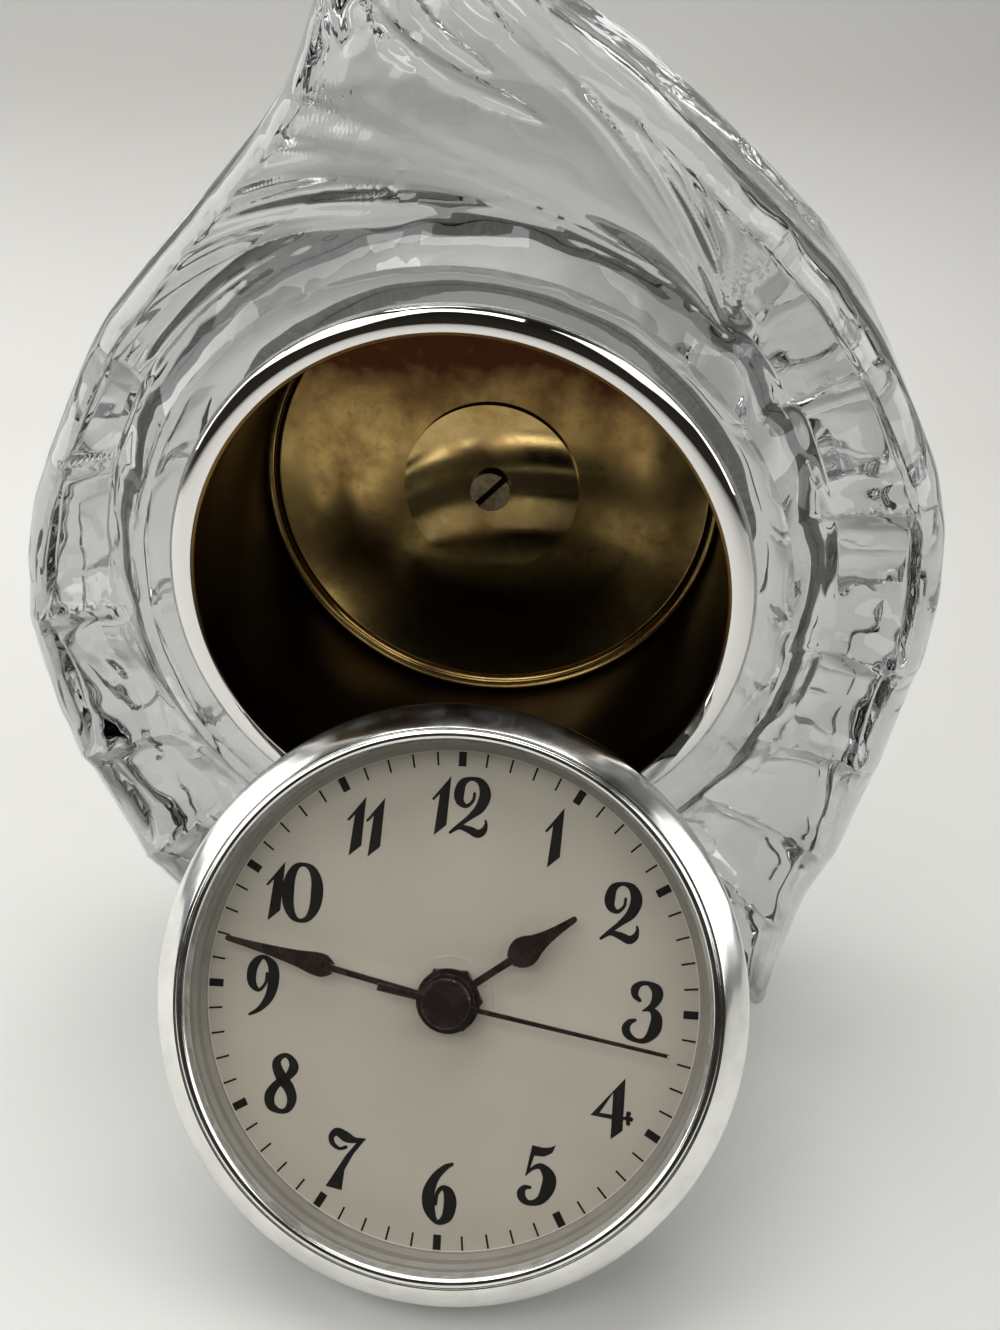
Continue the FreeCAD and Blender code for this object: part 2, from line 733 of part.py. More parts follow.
def movement_fixings():
    """The plate between the halves, and the bush, washer and nut that hold the dial."""
    inside = S.case_width * 0.5 - S.case_wall_thickness - S.seat_clearance
    plate = new_body("train_plate")
    holes = [
        (S.second_shaft_radius + S.running_clearance,),
        (PIVOT_HOLE, *THIRD_AXIS),
        (PIVOT_HOLE, *FIFTH_AXIS),
        (PIVOT_HOLE, *ROTOR_AXIS),
        (S.knob_shaft_radius + S.slack_clearance, *KNOB_AXIS),
    ]
    outline = rectangle(-inside, -S.train_floor_depth + S.seat_clearance, inside, inside)
    pad(plate, PLATE_REAR, S.plate_thickness, outline, holes)
    finish(plate, INSERT)

    bore = S.hour_pipe_radius + S.running_clearance
    flange_rear = FRONT_FLOOR - S.bush_flange_thickness
    bush = lathe("centre_bush", [
        (bore, flange_rear), (S.bush_flange_radius, flange_rear), (S.bush_flange_radius, FRONT_FLOOR),
        (S.bush_radius, FRONT_FLOOR), (S.bush_radius, S.bush_front_height), (bore, S.bush_front_height),
    ])
    finish(bush, INSERT)
    hole = S.bush_radius + S.seat_clearance
    finish(ring("dial_washer", hole, S.washer_radius, ZERO, S.washer_thickness), INSERT)
    flat = S.nut_width * 0.5
    corner = S.nut_width * (0.5 / math.cos(math.radians(30)))
    side = corner * 0.5
    nut = new_body("dial_nut")
    hexagon = [(corner, ZERO), (side, flat), (-side, flat), (-corner, ZERO), (-side, -flat), (side, -flat)]
    pad(nut, S.washer_thickness, S.nut_thickness, hexagon, [(hole,)])
    finish(nut, INSERT)


def toothed(teeth, module, rear, thickness, phase):
    """A gear blank on the arbor's axis with straight-flanked teeth, one of them on phase."""
    pitch = teeth * module / 2
    step = 360 / teeth
    corners = (
        (pitch - module * ROOT_SHARE, -ROOT_HALF_SHARE),
        (pitch + module * TIP_SHARE, -TIP_HALF_SHARE),
        (pitch + module * TIP_SHARE, TIP_HALF_SHARE),
        (pitch - module * ROOT_SHARE, ROOT_HALF_SHARE),
    )
    points = []
    for tooth in range(teeth):
        for radius, aside in corners:
            angle = math.radians(phase + (tooth + aside) * step)
            points.append(FreeCAD.Vector(radius * math.cos(angle), radius * math.sin(angle), rear))
    face = Part.Face(Part.makePolygon(points + points[:1]))
    return face.extrude(FreeCAD.Vector(0, 0, thickness))


def spindle(radius, rear, front):
    return Part.makeCylinder(radius, front - rear, FreeCAD.Vector(0, 0, rear))


def meshing_phase(teeth, partner_teeth, partner_phase, bearing):
    """The phase that puts a gap of this gear where the partner has a tooth."""
    partner_step = 360 / partner_teeth
    on_line = ((bearing - partner_phase) / partner_step) % 1
    return bearing + 180 - 360 / teeth * (0.5 - on_line)


def module_of(distance, teeth, partner_teeth):
    return 2 * distance.value / (teeth + partner_teeth)


def fused(solids, bores=()):
    shape = solids[0].multiFuse(solids[1:]) if len(solids) > 1 else solids[0]
    for bore in bores:
        shape = shape.cut(bore)
    return shape.removeSplitter().Solids[0]


def train_pieces():
    """Every wheel of the train with its own pinion, pipe or arbor."""
    thick = S.wheel_thickness.value
    over = S.pinion_overhang_length.value
    fit = S.running_clearance.value
    slack = S.slack_clearance.value
    overrun = S.cut_overrun_length.value
    pivot = S.pivot_radius.value
    arbor = S.arbor_radius.value
    rear = {name: front.value - thick for name, front in WHEEL_FRONTS.items()}
    plate_front = CASE_JOINT.value
    plate_rear = PLATE_REAR.value
    plate_middle = (plate_front + plate_rear) / 2
    shaft = S.second_shaft_radius.value
    minute_out = S.minute_pipe_radius.value
    hour_out = S.hour_pipe_radius.value
    pinion_length = thick + 2 * over

    motion_module = module_of(S.motion_arm_length, MOTION_TEETH, CANNON_TEETH)
    hour_module = module_of(S.motion_arm_length, HOUR_TEETH, MOTION_PINION_TEETH)
    centre_module = module_of(S.third_arm_length, CENTRE_TEETH, THIRD_PINION_TEETH)
    third_module = module_of(S.third_arm_length, THIRD_TEETH, SECOND_PINION_TEETH)
    second_module = module_of(S.fifth_arm_length, SECOND_TEETH, FIFTH_PINION_TEETH)
    fifth_module = module_of(S.rotor_arm_length, FIFTH_TEETH, ROTOR_PINION_TEETH)

    motion_phase = meshing_phase(MOTION_TEETH, CANNON_TEETH, 0, MOTION_BEARING)
    hour_phase = meshing_phase(HOUR_TEETH, MOTION_PINION_TEETH, 0, MOTION_BEARING + 180)
    knob_phase = meshing_phase(KNOB_TEETH, MOTION_TEETH, motion_phase, MOTION_BEARING)
    third_pinion_phase = meshing_phase(THIRD_PINION_TEETH, CENTRE_TEETH, 0, THIRD_BEARING)
    second_pinion_phase = meshing_phase(SECOND_PINION_TEETH, THIRD_TEETH, 0, THIRD_BEARING + 180)
    fifth_pinion_phase = meshing_phase(FIFTH_PINION_TEETH, SECOND_TEETH, 0, FIFTH_BEARING)
    rotor_pinion_phase = meshing_phase(ROTOR_PINION_TEETH, FIFTH_TEETH, 0, FIFTH_BEARING)

    def add(name, axis, solids, bores=()):
        piece = made_shape(name, fused(solids, bores))
        finish(piece, INSERT, (axis[0], axis[1], ZERO))

    centre = (ZERO, ZERO)
    hour_top = (S.hour_hand_height + S.hand_thickness).value
    hour_bore = minute_out + fit
    add("hour_wheel", centre, [
        toothed(HOUR_TEETH, hour_module, rear["hour"], thick, hour_phase),
        spindle(hour_out, rear["hour"], hour_top),
    ], [spindle(hour_bore, rear["hour"] - overrun, hour_top + overrun)])

    minute_top = (S.minute_hand_height + S.hand_thickness).value
    add("centre_wheel", centre, [
        toothed(CENTRE_TEETH, centre_module, rear["centre"], thick, 0),
        toothed(CANNON_TEETH, motion_module, rear["motion"] - over, pinion_length, 0),
        spindle(minute_out, rear["centre"], minute_top),
    ], [spindle(shaft + fit, rear["centre"] - overrun, minute_top + overrun)])

    second_top = (S.second_hand_height + S.hand_thickness).value
    pinion_rear = rear["third"] - over
    second_pivot_rear = rear["second"] - 3 * slack - slack
    shaft_rear = rear["centre"] - slack
    add("second_wheel", centre, [
        toothed(SECOND_TEETH, second_module, rear["second"], thick, 0),
        toothed(SECOND_PINION_TEETH, third_module, pinion_rear, pinion_length, second_pinion_phase),
        spindle(shaft, shaft_rear, second_top),
        spindle(arbor, rear["second"] - slack, shaft_rear),
        spindle(pivot, second_pivot_rear, rear["second"]),
    ])

    add("third_wheel", THIRD_AXIS, [
        toothed(THIRD_TEETH, third_module, rear["third"], thick, 0),
        toothed(
            THIRD_PINION_TEETH, centre_module, rear["centre"] - over, pinion_length, third_pinion_phase
        ),
        spindle(arbor, plate_front + fit, rear["centre"] + thick + slack),
        spindle(pivot, plate_middle, rear["centre"] + thick + 3 * slack + slack),
    ])

    add("intermediate_wheel", FIFTH_AXIS, [
        toothed(FIFTH_TEETH, fifth_module, rear["fifth"], thick, 0),
        toothed(
            FIFTH_PINION_TEETH, second_module, rear["second"] - over, pinion_length, fifth_pinion_phase
        ),
        spindle(arbor, rear["fifth"] - fit, plate_rear - fit),
        spindle(pivot, rear["fifth"] - 3 * slack - slack, plate_middle),
    ])

    magnet_front = -S.magnet_front_depth.value
    magnet_rear = magnet_front - S.magnet_length.value
    add("rotor", ROTOR_AXIS, [
        toothed(ROTOR_PINION_TEETH, fifth_module, rear["fifth"] - over, pinion_length, rotor_pinion_phase),
        spindle(arbor, magnet_rear, plate_rear - fit),
        spindle(pivot, magnet_rear - 3 * slack, plate_middle),
    ])
    add("rotor_magnet", ROTOR_AXIS, [
        spindle(S.magnet_radius.value, magnet_rear, magnet_front),
    ], [spindle(arbor, magnet_rear - overrun, magnet_front + overrun)])

    add("motion_wheel", MOTION_AXIS, [
        toothed(MOTION_TEETH, motion_module, rear["motion"], thick, motion_phase),
        toothed(MOTION_PINION_TEETH, hour_module, rear["hour"] - over, pinion_length, 0),
        spindle(S.motion_post_radius.value + slack, rear["motion"], rear["hour"]),
    ], [spindle(S.motion_post_radius.value + fit, rear["motion"] - overrun, overrun)])

    case_rear = CASE_REAR.value
    knob_front = case_rear - S.knob_gap_width.value
    knob_top = rear["motion"] + thick + slack
    add("setting_knob", KNOB_AXIS, [
        toothed(KNOB_TEETH, motion_module, rear["motion"] - over, pinion_length, knob_phase),
        spindle(S.knob_shaft_radius.value, knob_front, rear["motion"]),
        spindle(S.knob_radius.value, knob_front - S.knob_thickness.value, knob_front),
        spindle(pivot, rear["motion"], knob_top + slack),
    ])


def motor_pieces():
    """Stator, coil, circuit board and the oscillator on it."""
    ring_y = ROTOR_AXIS[1]
    level = -S.stator_depth
    bar = S.stator_bar_width * 0.5
    arm = S.stator_bar_width - S.slack_clearance * 3
    core_low = S.core_height - S.core_width * 0.5
    core_high = S.core_height + S.core_width * 0.5
    stator = new_body("stator")
    thickness = S.stator_thickness
    left_end, right_end = -S.stator_left_length, S.stator_right_length
    pad(stator, level, thickness, rectangle(left_end, ring_y - bar, right_end, ring_y + bar))
    pad(stator, level, thickness, circles=[(S.stator_ring_radius, *ROTOR_AXIS)])
    pad(stator, level, thickness, rectangle(left_end, core_low, right_end, core_high))
    for left in (left_end, right_end - arm):
        pad(stator, level, thickness, rectangle(left, ring_y - bar, left + arm, core_high))
    pocket(
        stator, level + thickness, thickness + S.cut_overrun_length,
        circles=[(S.stator_hole_radius, *ROTOR_AXIS)],
    )
    finish(stator, INSERT)

    core_x = (S.stator_right_length - S.stator_left_length) * 0.5
    core_z = level + thickness * 0.5
    half_gap = (S.stator_left_length + S.stator_right_length) * 0.5 - arm - S.spool_gap_width
    wound = half_gap - S.spool_flange_thickness
    tube = S.spool_bore_radius + S.spool_wall_thickness
    along_x = turned_by(90, (0, 1, 0))
    spool = lathe("coil_bobbin", [
        (S.spool_bore_radius, -half_gap), (S.spool_radius, -half_gap), (S.spool_radius, -wound),
        (tube, -wound), (tube, wound), (S.spool_radius, wound),
        (S.spool_radius, half_gap), (S.spool_bore_radius, half_gap),
    ])
    coil_place = (core_x, S.core_height, core_z)
    finish(spool, INSERT, coil_place, along_x)
    winding = ring("coil_winding", tube, S.spool_radius - S.seat_clearance, -wound, wound)
    finish(winding, INSERT, coil_place, along_x)

    board = new_body("circuit_board")
    right = S.board_left_offset + S.board_width
    top = S.board_bottom_offset + S.board_height
    board_outline = rectangle(S.board_left_offset, S.board_bottom_offset, right, top)
    pad(board, BACK_FLOOR, S.board_thickness, board_outline)
    finish(board, INSERT)
    lying = lathe("quartz_oscillator", [
        (ZERO, ZERO), (S.crystal_can_radius, ZERO),
        (S.crystal_can_radius, S.crystal_can_length), (ZERO, S.crystal_can_length),
    ])
    place = (
        S.board_left_offset + S.knob_radius,
        S.board_bottom_offset + S.board_height * 0.5,
        BACK_FLOOR + S.board_thickness + S.crystal_can_radius,
    )
    finish(lying, INSERT, place, along_x)


def battery_pieces():
    """One cell lying across the bay, between two sprung contacts."""
    inside = S.case_width * 0.5 - S.case_wall_thickness
    bay_middle = -(S.bay_ceiling_depth + inside) * 0.5
    depth = FRONT_FLOOR - S.seat_clearance - S.battery_radius
    half = S.battery_length * 0.5
    shoulder = half - S.battery_nub_length
    along_x = turned_by(90, (0, 1, 0))
    cell = lathe("battery", [
        (ZERO, -half), (S.battery_radius, -half), (S.battery_radius, shoulder),
        (S.battery_nub_radius, shoulder), (S.battery_nub_radius, half), (ZERO, half),
    ])
    finish(cell, INSERT, (ZERO, bay_middle, depth), along_x)
    plate_face = inside - S.contact_thickness
    tongue = S.contact_width * 0.5
    for name, side in (("battery_contact_positive", 1), ("battery_contact_negative", -1)):
        contact = new_body(name)
        plate_level = plate_face if side > 0 else -inside
        dimple_level = half if side > 0 else -plate_face
        pad(contact, plate_level, S.contact_thickness, rectangle(-tongue, -tongue, tongue, tongue))
        pad(contact, dimple_level, plate_face - half, circles=[(S.battery_nub_radius,)])
        finish(contact, INSERT, (ZERO, bay_middle, depth), along_x)


def spade_hand(name, level, length, hub, bore, bulb_place, bulb, clock_angle):
    """A hand with a round hub, a straight stem and a bulb that draws out to a blunt point."""
    half = S.hand_stem_width * 0.5
    thick = S.hand_thickness
    hand = new_body(name)
    pad(hand, level, thick, rectangle(-half, ZERO, half, bulb_place))
    pad(hand, level, thick, circles=[(bulb, ZERO, bulb_place)])
    reach = length - bulb_place
    shoulder = bulb * BULB_SHOULDER_SHARE
    rise = bulb * math.sqrt(1 - BULB_SHOULDER_SHARE ** 2)
    neck = half + (bulb - half) * (1 - NECK_WIDTH_SHARE)
    waist = bulb_place + reach * BULB_NECK_SHARE
    pad(hand, level, thick, [
        (-shoulder, bulb_place + rise), (shoulder, bulb_place + rise), (neck, waist),
        (half, length - reach * NECK_WIDTH_SHARE * BULB_NECK_SHARE), (half, length),
        (-half, length), (-half, length - reach * NECK_WIDTH_SHARE * BULB_NECK_SHARE), (-neck, waist),
    ])
    pad(hand, level, thick, circles=[(hub,)])
    pocket(hand, level + thick, thick + S.cut_overrun_length, circles=[(bore,)])
    finish(hand, INSERT, turn=turned_by(-clock_angle))


def hands():
    spade_hand(
        "hour_hand", S.hour_hand_height, S.hour_hand_length, S.hour_hub_radius, S.hour_pipe_radius,
        S.hour_bulb_offset, S.hour_bulb_radius, HOUR_ANGLE,
    )
    spade_hand(
        "minute_hand", S.minute_hand_height, S.minute_hand_length, S.minute_hub_radius,
        S.minute_pipe_radius, S.minute_bulb_offset, S.minute_bulb_radius, MINUTE_ANGLE,
    )
    half = S.second_hand_width * 0.5
    level = S.second_hand_height
    thick = S.hand_thickness
    needle = new_body("second_hand")
    pad(needle, level, thick, rectangle(-half, -S.second_tail_length, half, S.second_hand_length))
    pad(needle, level, thick, circles=[(S.second_hub_radius,)])
    pocket(needle, level + thick, thick + S.cut_overrun_length, circles=[(S.second_shaft_radius,)])
    finish(needle, INSERT, turn=turned_by(-SECOND_ANGLE))
    rear = level + thick
    front = rear + S.cap_thickness
    bevel = S.cap_bevel_width
    cap = lathe("second_hand_cap", [
        (ZERO, rear), (S.cap_radius, rear), (S.cap_radius, front - bevel),
        (S.cap_radius - bevel, front), (ZERO, front),
    ])
    finish(cap, INSERT)


crystal_body()
case_pieces()
insert_shell()
insert_can()
movement_cases()
movement_fixings()
train_pieces()
motor_pieces()
battery_pieces()
hands()
doc.recompute()

failed = [o.Label for o in doc.Objects if "Invalid" in o.State or "Error" in o.State]
assert not failed, "failed objects: %s" % failed
os.makedirs("parts", exist_ok=True)
for piece in PIECES:
    shape = piece.Shape
    assert not shape.isNull() and shape.isValid(), piece.Label
    assert len(shape.Solids) == 1, "%s has %d solids" % (piece.Label, len(shape.Solids))
    shape.exportStep(os.path.join("parts", piece.Label + ".step"))
print("%d sub-parts" % len(PIECES))
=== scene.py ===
"""Looks of the crystal mantel clock: glass relief, plating, dial print, hands, stage and lamps."""
import math

import bmesh
import bpy
import numpy as np
from mathutils import Matrix, Vector, noise


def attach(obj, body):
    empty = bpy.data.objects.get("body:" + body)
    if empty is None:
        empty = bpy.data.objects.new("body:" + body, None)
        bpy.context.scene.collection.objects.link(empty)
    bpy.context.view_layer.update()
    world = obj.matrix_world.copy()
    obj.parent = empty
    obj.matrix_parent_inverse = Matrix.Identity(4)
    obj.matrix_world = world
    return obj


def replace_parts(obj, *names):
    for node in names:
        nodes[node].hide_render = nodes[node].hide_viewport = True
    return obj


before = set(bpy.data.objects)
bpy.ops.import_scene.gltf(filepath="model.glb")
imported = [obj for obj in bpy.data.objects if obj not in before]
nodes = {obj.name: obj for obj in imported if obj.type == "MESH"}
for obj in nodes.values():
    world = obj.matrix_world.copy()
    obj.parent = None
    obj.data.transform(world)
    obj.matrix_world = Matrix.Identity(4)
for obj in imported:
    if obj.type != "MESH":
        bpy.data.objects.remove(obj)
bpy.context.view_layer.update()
scene = bpy.context.scene
MM = 0.001

# Height of the bore's axis, and how far forward the cup's rim stands, in millimetres.
BORE_UP = 95.0
RIM_Y = -28.0
# Where the clock insert leans: its dial centre and its own axes.
DIAL_CENTRE = Vector((3.2, -62.2946, 44.3507)) * MM
DIAL_UP = Vector((0, 0.5343523, 0.8452618))
DIAL_OUT = Vector((0, -0.8452618, 0.5343523))
DIAL_PLACE = Matrix((
    (1, DIAL_UP.x, DIAL_OUT.x, DIAL_CENTRE.x),
    (0, DIAL_UP.y, DIAL_OUT.y, DIAL_CENTRE.y),
    (0, DIAL_UP.z, DIAL_OUT.z, DIAL_CENTRE.z),
    (0, 0, 0, 1),
))


# Materials.

def linear(hex_colour):
    """A colour written as sRGB hex, as the linear values that shaders take."""
    channels = [int(hex_colour[i:i + 2], 16) / 255 for i in (1, 3, 5)]
    lit = [c / 12.92 if c <= 0.04045 else ((c + 0.055) / 1.055) ** 2.4 for c in channels]
    return (*lit, 1.0)


def add(tree, kind, settings=None, links=None):
    """Adds one shader node, sets its properties and sockets, and links its inputs."""
    node = tree.nodes.new(kind)
    for name, value in (settings or {}).items():
        if isinstance(name, int) or name in node.inputs:
            node.inputs[name].default_value = value
        else:
            setattr(node, name, value)
    for name, source in (links or {}).items():
        tree.links.new(source, node.inputs[name])
    return node


def new_material(name, settings):
    """A material with one Principled shader; gives it with its tree, shader and place in metres."""
    made = bpy.data.materials.new(name)
    made.use_nodes = True
    tree = made.node_tree
    shader = tree.nodes["Principled BSDF"]
    for socket, value in settings.items():
        shader.inputs[socket].default_value = value
    place = add(tree, "ShaderNodeTexCoord").outputs["Object"]
    return made, tree, shader, place


def grain(tree, place, size_mm, detail=2.0, roughness=0.5, stretch=(1, 1, 1)):
    """Noise whose features are size_mm across, drawn out by stretch."""
    moved = add(tree, "ShaderNodeMapping", {"Scale": stretch}, {"Vector": place})
    scale = 1 / (size_mm * MM)
    return add(
        tree, "ShaderNodeTexNoise", {"Scale": scale, "Detail": detail, "Roughness": roughness},
        {"Vector": moved.outputs["Vector"]},
    ).outputs["Fac"]


def between(tree, factor, low, high, start=0.3, end=0.7):
    """A number that runs from low to high as factor runs from start to end."""
    return add(
        tree, "ShaderNodeMapRange",
        {"From Min": start, "From Max": end, "To Min": low, "To Max": high}, {"Value": factor},
    ).outputs["Result"]


def mixed(tree, factor, first, second):
    """Two colours, mixed by factor; each is a hex colour or a socket."""
    node = add(tree, "ShaderNodeMix", {"data_type": "RGBA"}, {"Factor": factor})
    # The Mix node takes its two colours at inputs 6 and 7, and gives the mixed one at output 2.
    for index, colour in ((6, first), (7, second)):
        if isinstance(colour, str):
            node.inputs[index].default_value = linear(colour)
        else:
            tree.links.new(colour, node.inputs[index])
    return node.outputs[2]


def bumped(tree, shader, height, depth_mm, strength=0.5):
    """Raises the surface by height, which runs from 0 to 1, over depth_mm."""
    bump = add(
        tree, "ShaderNodeBump", {"Strength": strength, "Distance": depth_mm * MM},
        {"Height": height},
    )
    tree.links.new(bump.outputs["Normal"], shader.inputs["Normal"])


def feed(tree, shader, **sockets):
    """Links sources to the shader's sockets, named with underscores for spaces."""
    for name, source in sockets.items():
        tree.links.new(source, shader.inputs[name.replace("_", " ")])


def clear_to_lamps(tree, shader, tint):
    """Lets lamp light straight through clear glass, so what lies behind it isn't dark."""
    ray = add(tree, "ShaderNodeLightPath")
    let = add(
        tree, "ShaderNodeMath", {"operation": "MAXIMUM"},
        {0: ray.outputs["Is Shadow Ray"], 1: ray.outputs["Is Diffuse Ray"]},
    )
    thin = add(tree, "ShaderNodeBsdfTransparent", {"Color": linear(tint)})
    both = add(
        tree, "ShaderNodeMixShader", {},
        {0: let.outputs["Value"], 1: shader.outputs["BSDF"], 2: thin.outputs["BSDF"]},
    )
    tree.links.new(both.outputs["Shader"], tree.nodes["Material Output"].inputs["Surface"])


def lead_crystal():
    """Clear lead crystal, pressed and fire polished: bends light hard under a faint orange peel."""
    made, tree, shader, place = new_material("lead crystal, fire polished", {
        "Base Color": linear("#C7C9C9"), "Roughness": 0.0, "IOR": 1.545,
        "Transmission Weight": 1.0,
    })
    # Fire polishing leaves waves some 6 mm long; drawn 0.1 mm high so that they show.
    waves = grain(tree, place, 6, 2.0, 0.45)
    bumped(tree, shader, waves, 0.12, 0.6)
    clear_to_lamps(tree, shader, "#D9DCDC")
    return made


def mineral_glass():
    """Flat mineral glass of the watch window: thin, clean, with a trace of dust and wiping."""
    made, tree, shader, place = new_material("mineral glass, flat polished", {
        "Base Color": linear("#FDFDFC"), "IOR": 1.52, "Transmission Weight": 1.0,
    })
    wiped = grain(tree, place, 9, 4.0, 0.6, (1, 3, 1))
    feed(tree, shader, Roughness=between(tree, wiped, 0.0, 0.03, 0.5, 0.75))
    clear_to_lamps(tree, shader, "#F4F4F2")
    return made


def plating(name, bright, dull, rough_low, rough_high, smudge_mm=9, scratch=0.25):
    """Polished plating: handled smudges dull the gloss, and fine wiping scratches cross it."""
    made, tree, shader, place = new_material(name, {"Metallic": 1.0})
    smudge = grain(tree, place, smudge_mm, 5.0, 0.62)
    # Wiping scratches are a few hundredths wide; drawn 0.25 mm wide or more so that they show.
    wipe = grain(tree, place, scratch, stretch=(0.12, 1, 1))
    feed(
        tree, shader,
        Base_Color=mixed(tree, between(tree, smudge, 0, 1, 0.4, 0.68), bright, dull),
        Roughness=between(tree, smudge, rough_low, rough_high, 0.38, 0.7),
    )
    bumped(tree, shader, wipe, 0.004, 0.35)
    return made


def slotted_steel():
    """Steel screw head with painted shade in its slot, which starts 16.1 mm behind the origin's
    plane.
    """
    made, tree, shader, place = new_material("steel, slotted head, slot painted with shade", {"Metallic": 1.0})
    depth = add(tree, "ShaderNodeSeparateXYZ", {}, {"Vector": place}).outputs["Y"]
    cloud = grain(tree, place, 1.5, 4.0, 0.6)
    worn = mixed(tree, between(tree, cloud, 0, 1), "#A39479", "#7A6B50")
    # The slot is painted near black with shade.
    slot_painted_shade = between(tree, depth, 0, 1, 16.1 * MM, 16.3 * MM)
    feed(
        tree, shader,
        Base_Color=mixed(tree, slot_painted_shade, worn, "#120E0A"),
        Roughness=between(tree, cloud, 0.28, 0.45),
    )
    bumped(tree, shader, grain(tree, place, 0.3), 0.01)
    return made


def turned(name, colour, dark, roughness):
    """Turned or sheet metal with close tool marks, drawn 0.2 mm apart so that they show."""
    made, tree, shader, place = new_material(name, {"Metallic": 1.0})
    marks = grain(tree, place, 0.2, stretch=(1, 0.08, 1))
    cloud = grain(tree, place, 6, 4.0, 0.6)
    feed(
        tree, shader,
        Base_Color=mixed(tree, between(tree, cloud, 0, 1), colour, dark),
        Roughness=between(tree, marks, roughness - 0.08, roughness + 0.12),
    )
    bumped(tree, shader, marks, 0.01, 0.4)
    return made


def moulded(name, colour, worn, roughness, spark_mm=0.35):
    """Injection moulded plastic or rubber with a fine spark-eroded skin."""
    made, tree, shader, place = new_material(name, {"IOR": 1.5})
    skin = grain(tree, place, spark_mm)
    cloud = grain(tree, place, 8, 4.0, 0.6)
    feed(
        tree, shader,
        Base_Color=mixed(tree, between(tree, cloud, 0, 1), colour, worn),
        Roughness=between(tree, cloud, roughness - 0.06, roughness + 0.1),
    )
    bumped(tree, shader, skin, 0.02)
    return made


def cup_nickel():
    """Spun brass cup, nickel plated: bright at the rolled rim, golden tarnish inside, side wall
    painted with shade from near black to olive.
    """
    made, tree, shader, place = new_material(
        "nickel plate on spun brass, tarnished", {"Metallic": 1.0},
    )
    part = add(tree, "ShaderNodeSeparateXYZ", {}, {"Vector": place})
    across = part.outputs["X"]
    up = add(
        tree, "ShaderNodeMath", {"operation": "SUBTRACT", 1: BORE_UP * MM},
        {0: part.outputs["Z"]},
    ).outputs[0]
    flat = add(tree, "ShaderNodeCombineXYZ", {}, {"X": across, "Y": up}).outputs["Vector"]
    radius = add(
        tree, "ShaderNodeVectorMath", {"operation": "LENGTH"}, {0: flat},
    ).outputs["Value"]
    # From the bore's axis the side wall starts at 41 mm and the rolled rim at 42.6 mm. The rim
    # keeps its bright plate.
    wall = between(tree, radius, 0, 1, 41.0 * MM, 41.5 * MM)
    rim = between(tree, radius, 0, 1, 42.45 * MM, 42.7 * MM)
    cloud = grain(tree, place, 11, 6.0, 0.65)
    spots = grain(tree, place, 2.2, 3.0, 0.7)
    gold = mixed(tree, between(tree, cloud, 0, 1, 0.35, 0.65), "#B69A5E", "#8E7144")
    # The floor is browner and darker towards the top of the cup, and this thins out downwards in
    # clouds.
    height = between(tree, up, 0, 1, 4 * MM, 30 * MM)
    browner_to_top = add(
        tree, "ShaderNodeMath", {"operation": "MULTIPLY_ADD", 1: 0.5, "use_clamp": True},
        {0: cloud, 2: height},
    ).outputs[0]
    browned = mixed(tree, between(tree, browner_to_top, 0, 1, 0.25, 0.95), gold, "#361E10")
    stained = mixed(tree, between(tree, spots, 0, 0.45, 0.58, 0.75), browned, "#4E3C26")
    # The side wall is painted with shade: nearly black at the bottom and olive at the top.
    lit = mixed(tree, between(tree, up, 0, 1, -10 * MM, 16 * MM), "#1A1007", "#8A6A38")
    colour = mixed(tree, rim, mixed(tree, wall, stained, lit), "#E4E3E0")
    # The wall is duller than the floor and the rim is brighter. The Mix node takes its two
    # numbers at inputs 2 and 3.
    rough = between(tree, cloud, 0.1, 0.24, 0.35, 0.68)
    for mask, level in ((wall, 0.38), (rim, 0.035)):
        rough = add(
            tree, "ShaderNodeMix", {"data_type": "FLOAT", 3: level}, {"Factor": mask, 2: rough},
        ).outputs[0]
    feed(tree, shader, Base_Color=colour, Roughness=rough)
    # Spinning leaves fine rings round the axis; drawn 0.5 mm apart so that they show.
    rings = grain(tree, place, 0.5, stretch=(0.1, 1, 0.1))
    bumped(tree, shader, rings, 0.012)
    return made


def dial_paint():
    """Off-white matt enamel on a brass dial plate, with a warm cast and faint dust marks."""
    made, tree, shader, place = new_material("matt enamel paint, sprayed", {"IOR": 1.45})
    cloud = grain(tree, place, 16, 4.0, 0.55)
    specks = grain(tree, place, 0.9, 2.0, 0.6)
    tone = mixed(tree, between(tree, cloud, 0, 1), "#C8C1B5", "#BFB8AB")
    feed(
        tree, shader,
        Base_Color=mixed(tree, between(tree, specks, 0, 0.5, 0.7, 0.8), tone, "#B9AFA2"),
        Roughness=between(tree, cloud, 0.5, 0.62),
    )
    bumped(tree, shader, grain(tree, place, 0.3), 0.01, 0.4)
    return made


def lacquer(name, colour, worn, roughness, coat=0.3, ior=1.5):
    """Gloss lacquer or printing ink: nearly black, with clouds a little browner."""
    made, tree, shader, place = new_material(
        name, {"IOR": ior, "Coat Weight": coat, "Coat Roughness": 0.08},
    )
    cloud = grain(tree, place, 3, 4.0, 0.6)
    feed(
        tree, shader,
        Base_Color=mixed(tree, between(tree, cloud, 0, 1), colour, worn),
        Roughness=between(tree, cloud, roughness, roughness + 0.15),
    )
    bumped(tree, shader, grain(tree, place, 0.4), 0.006)
    return made


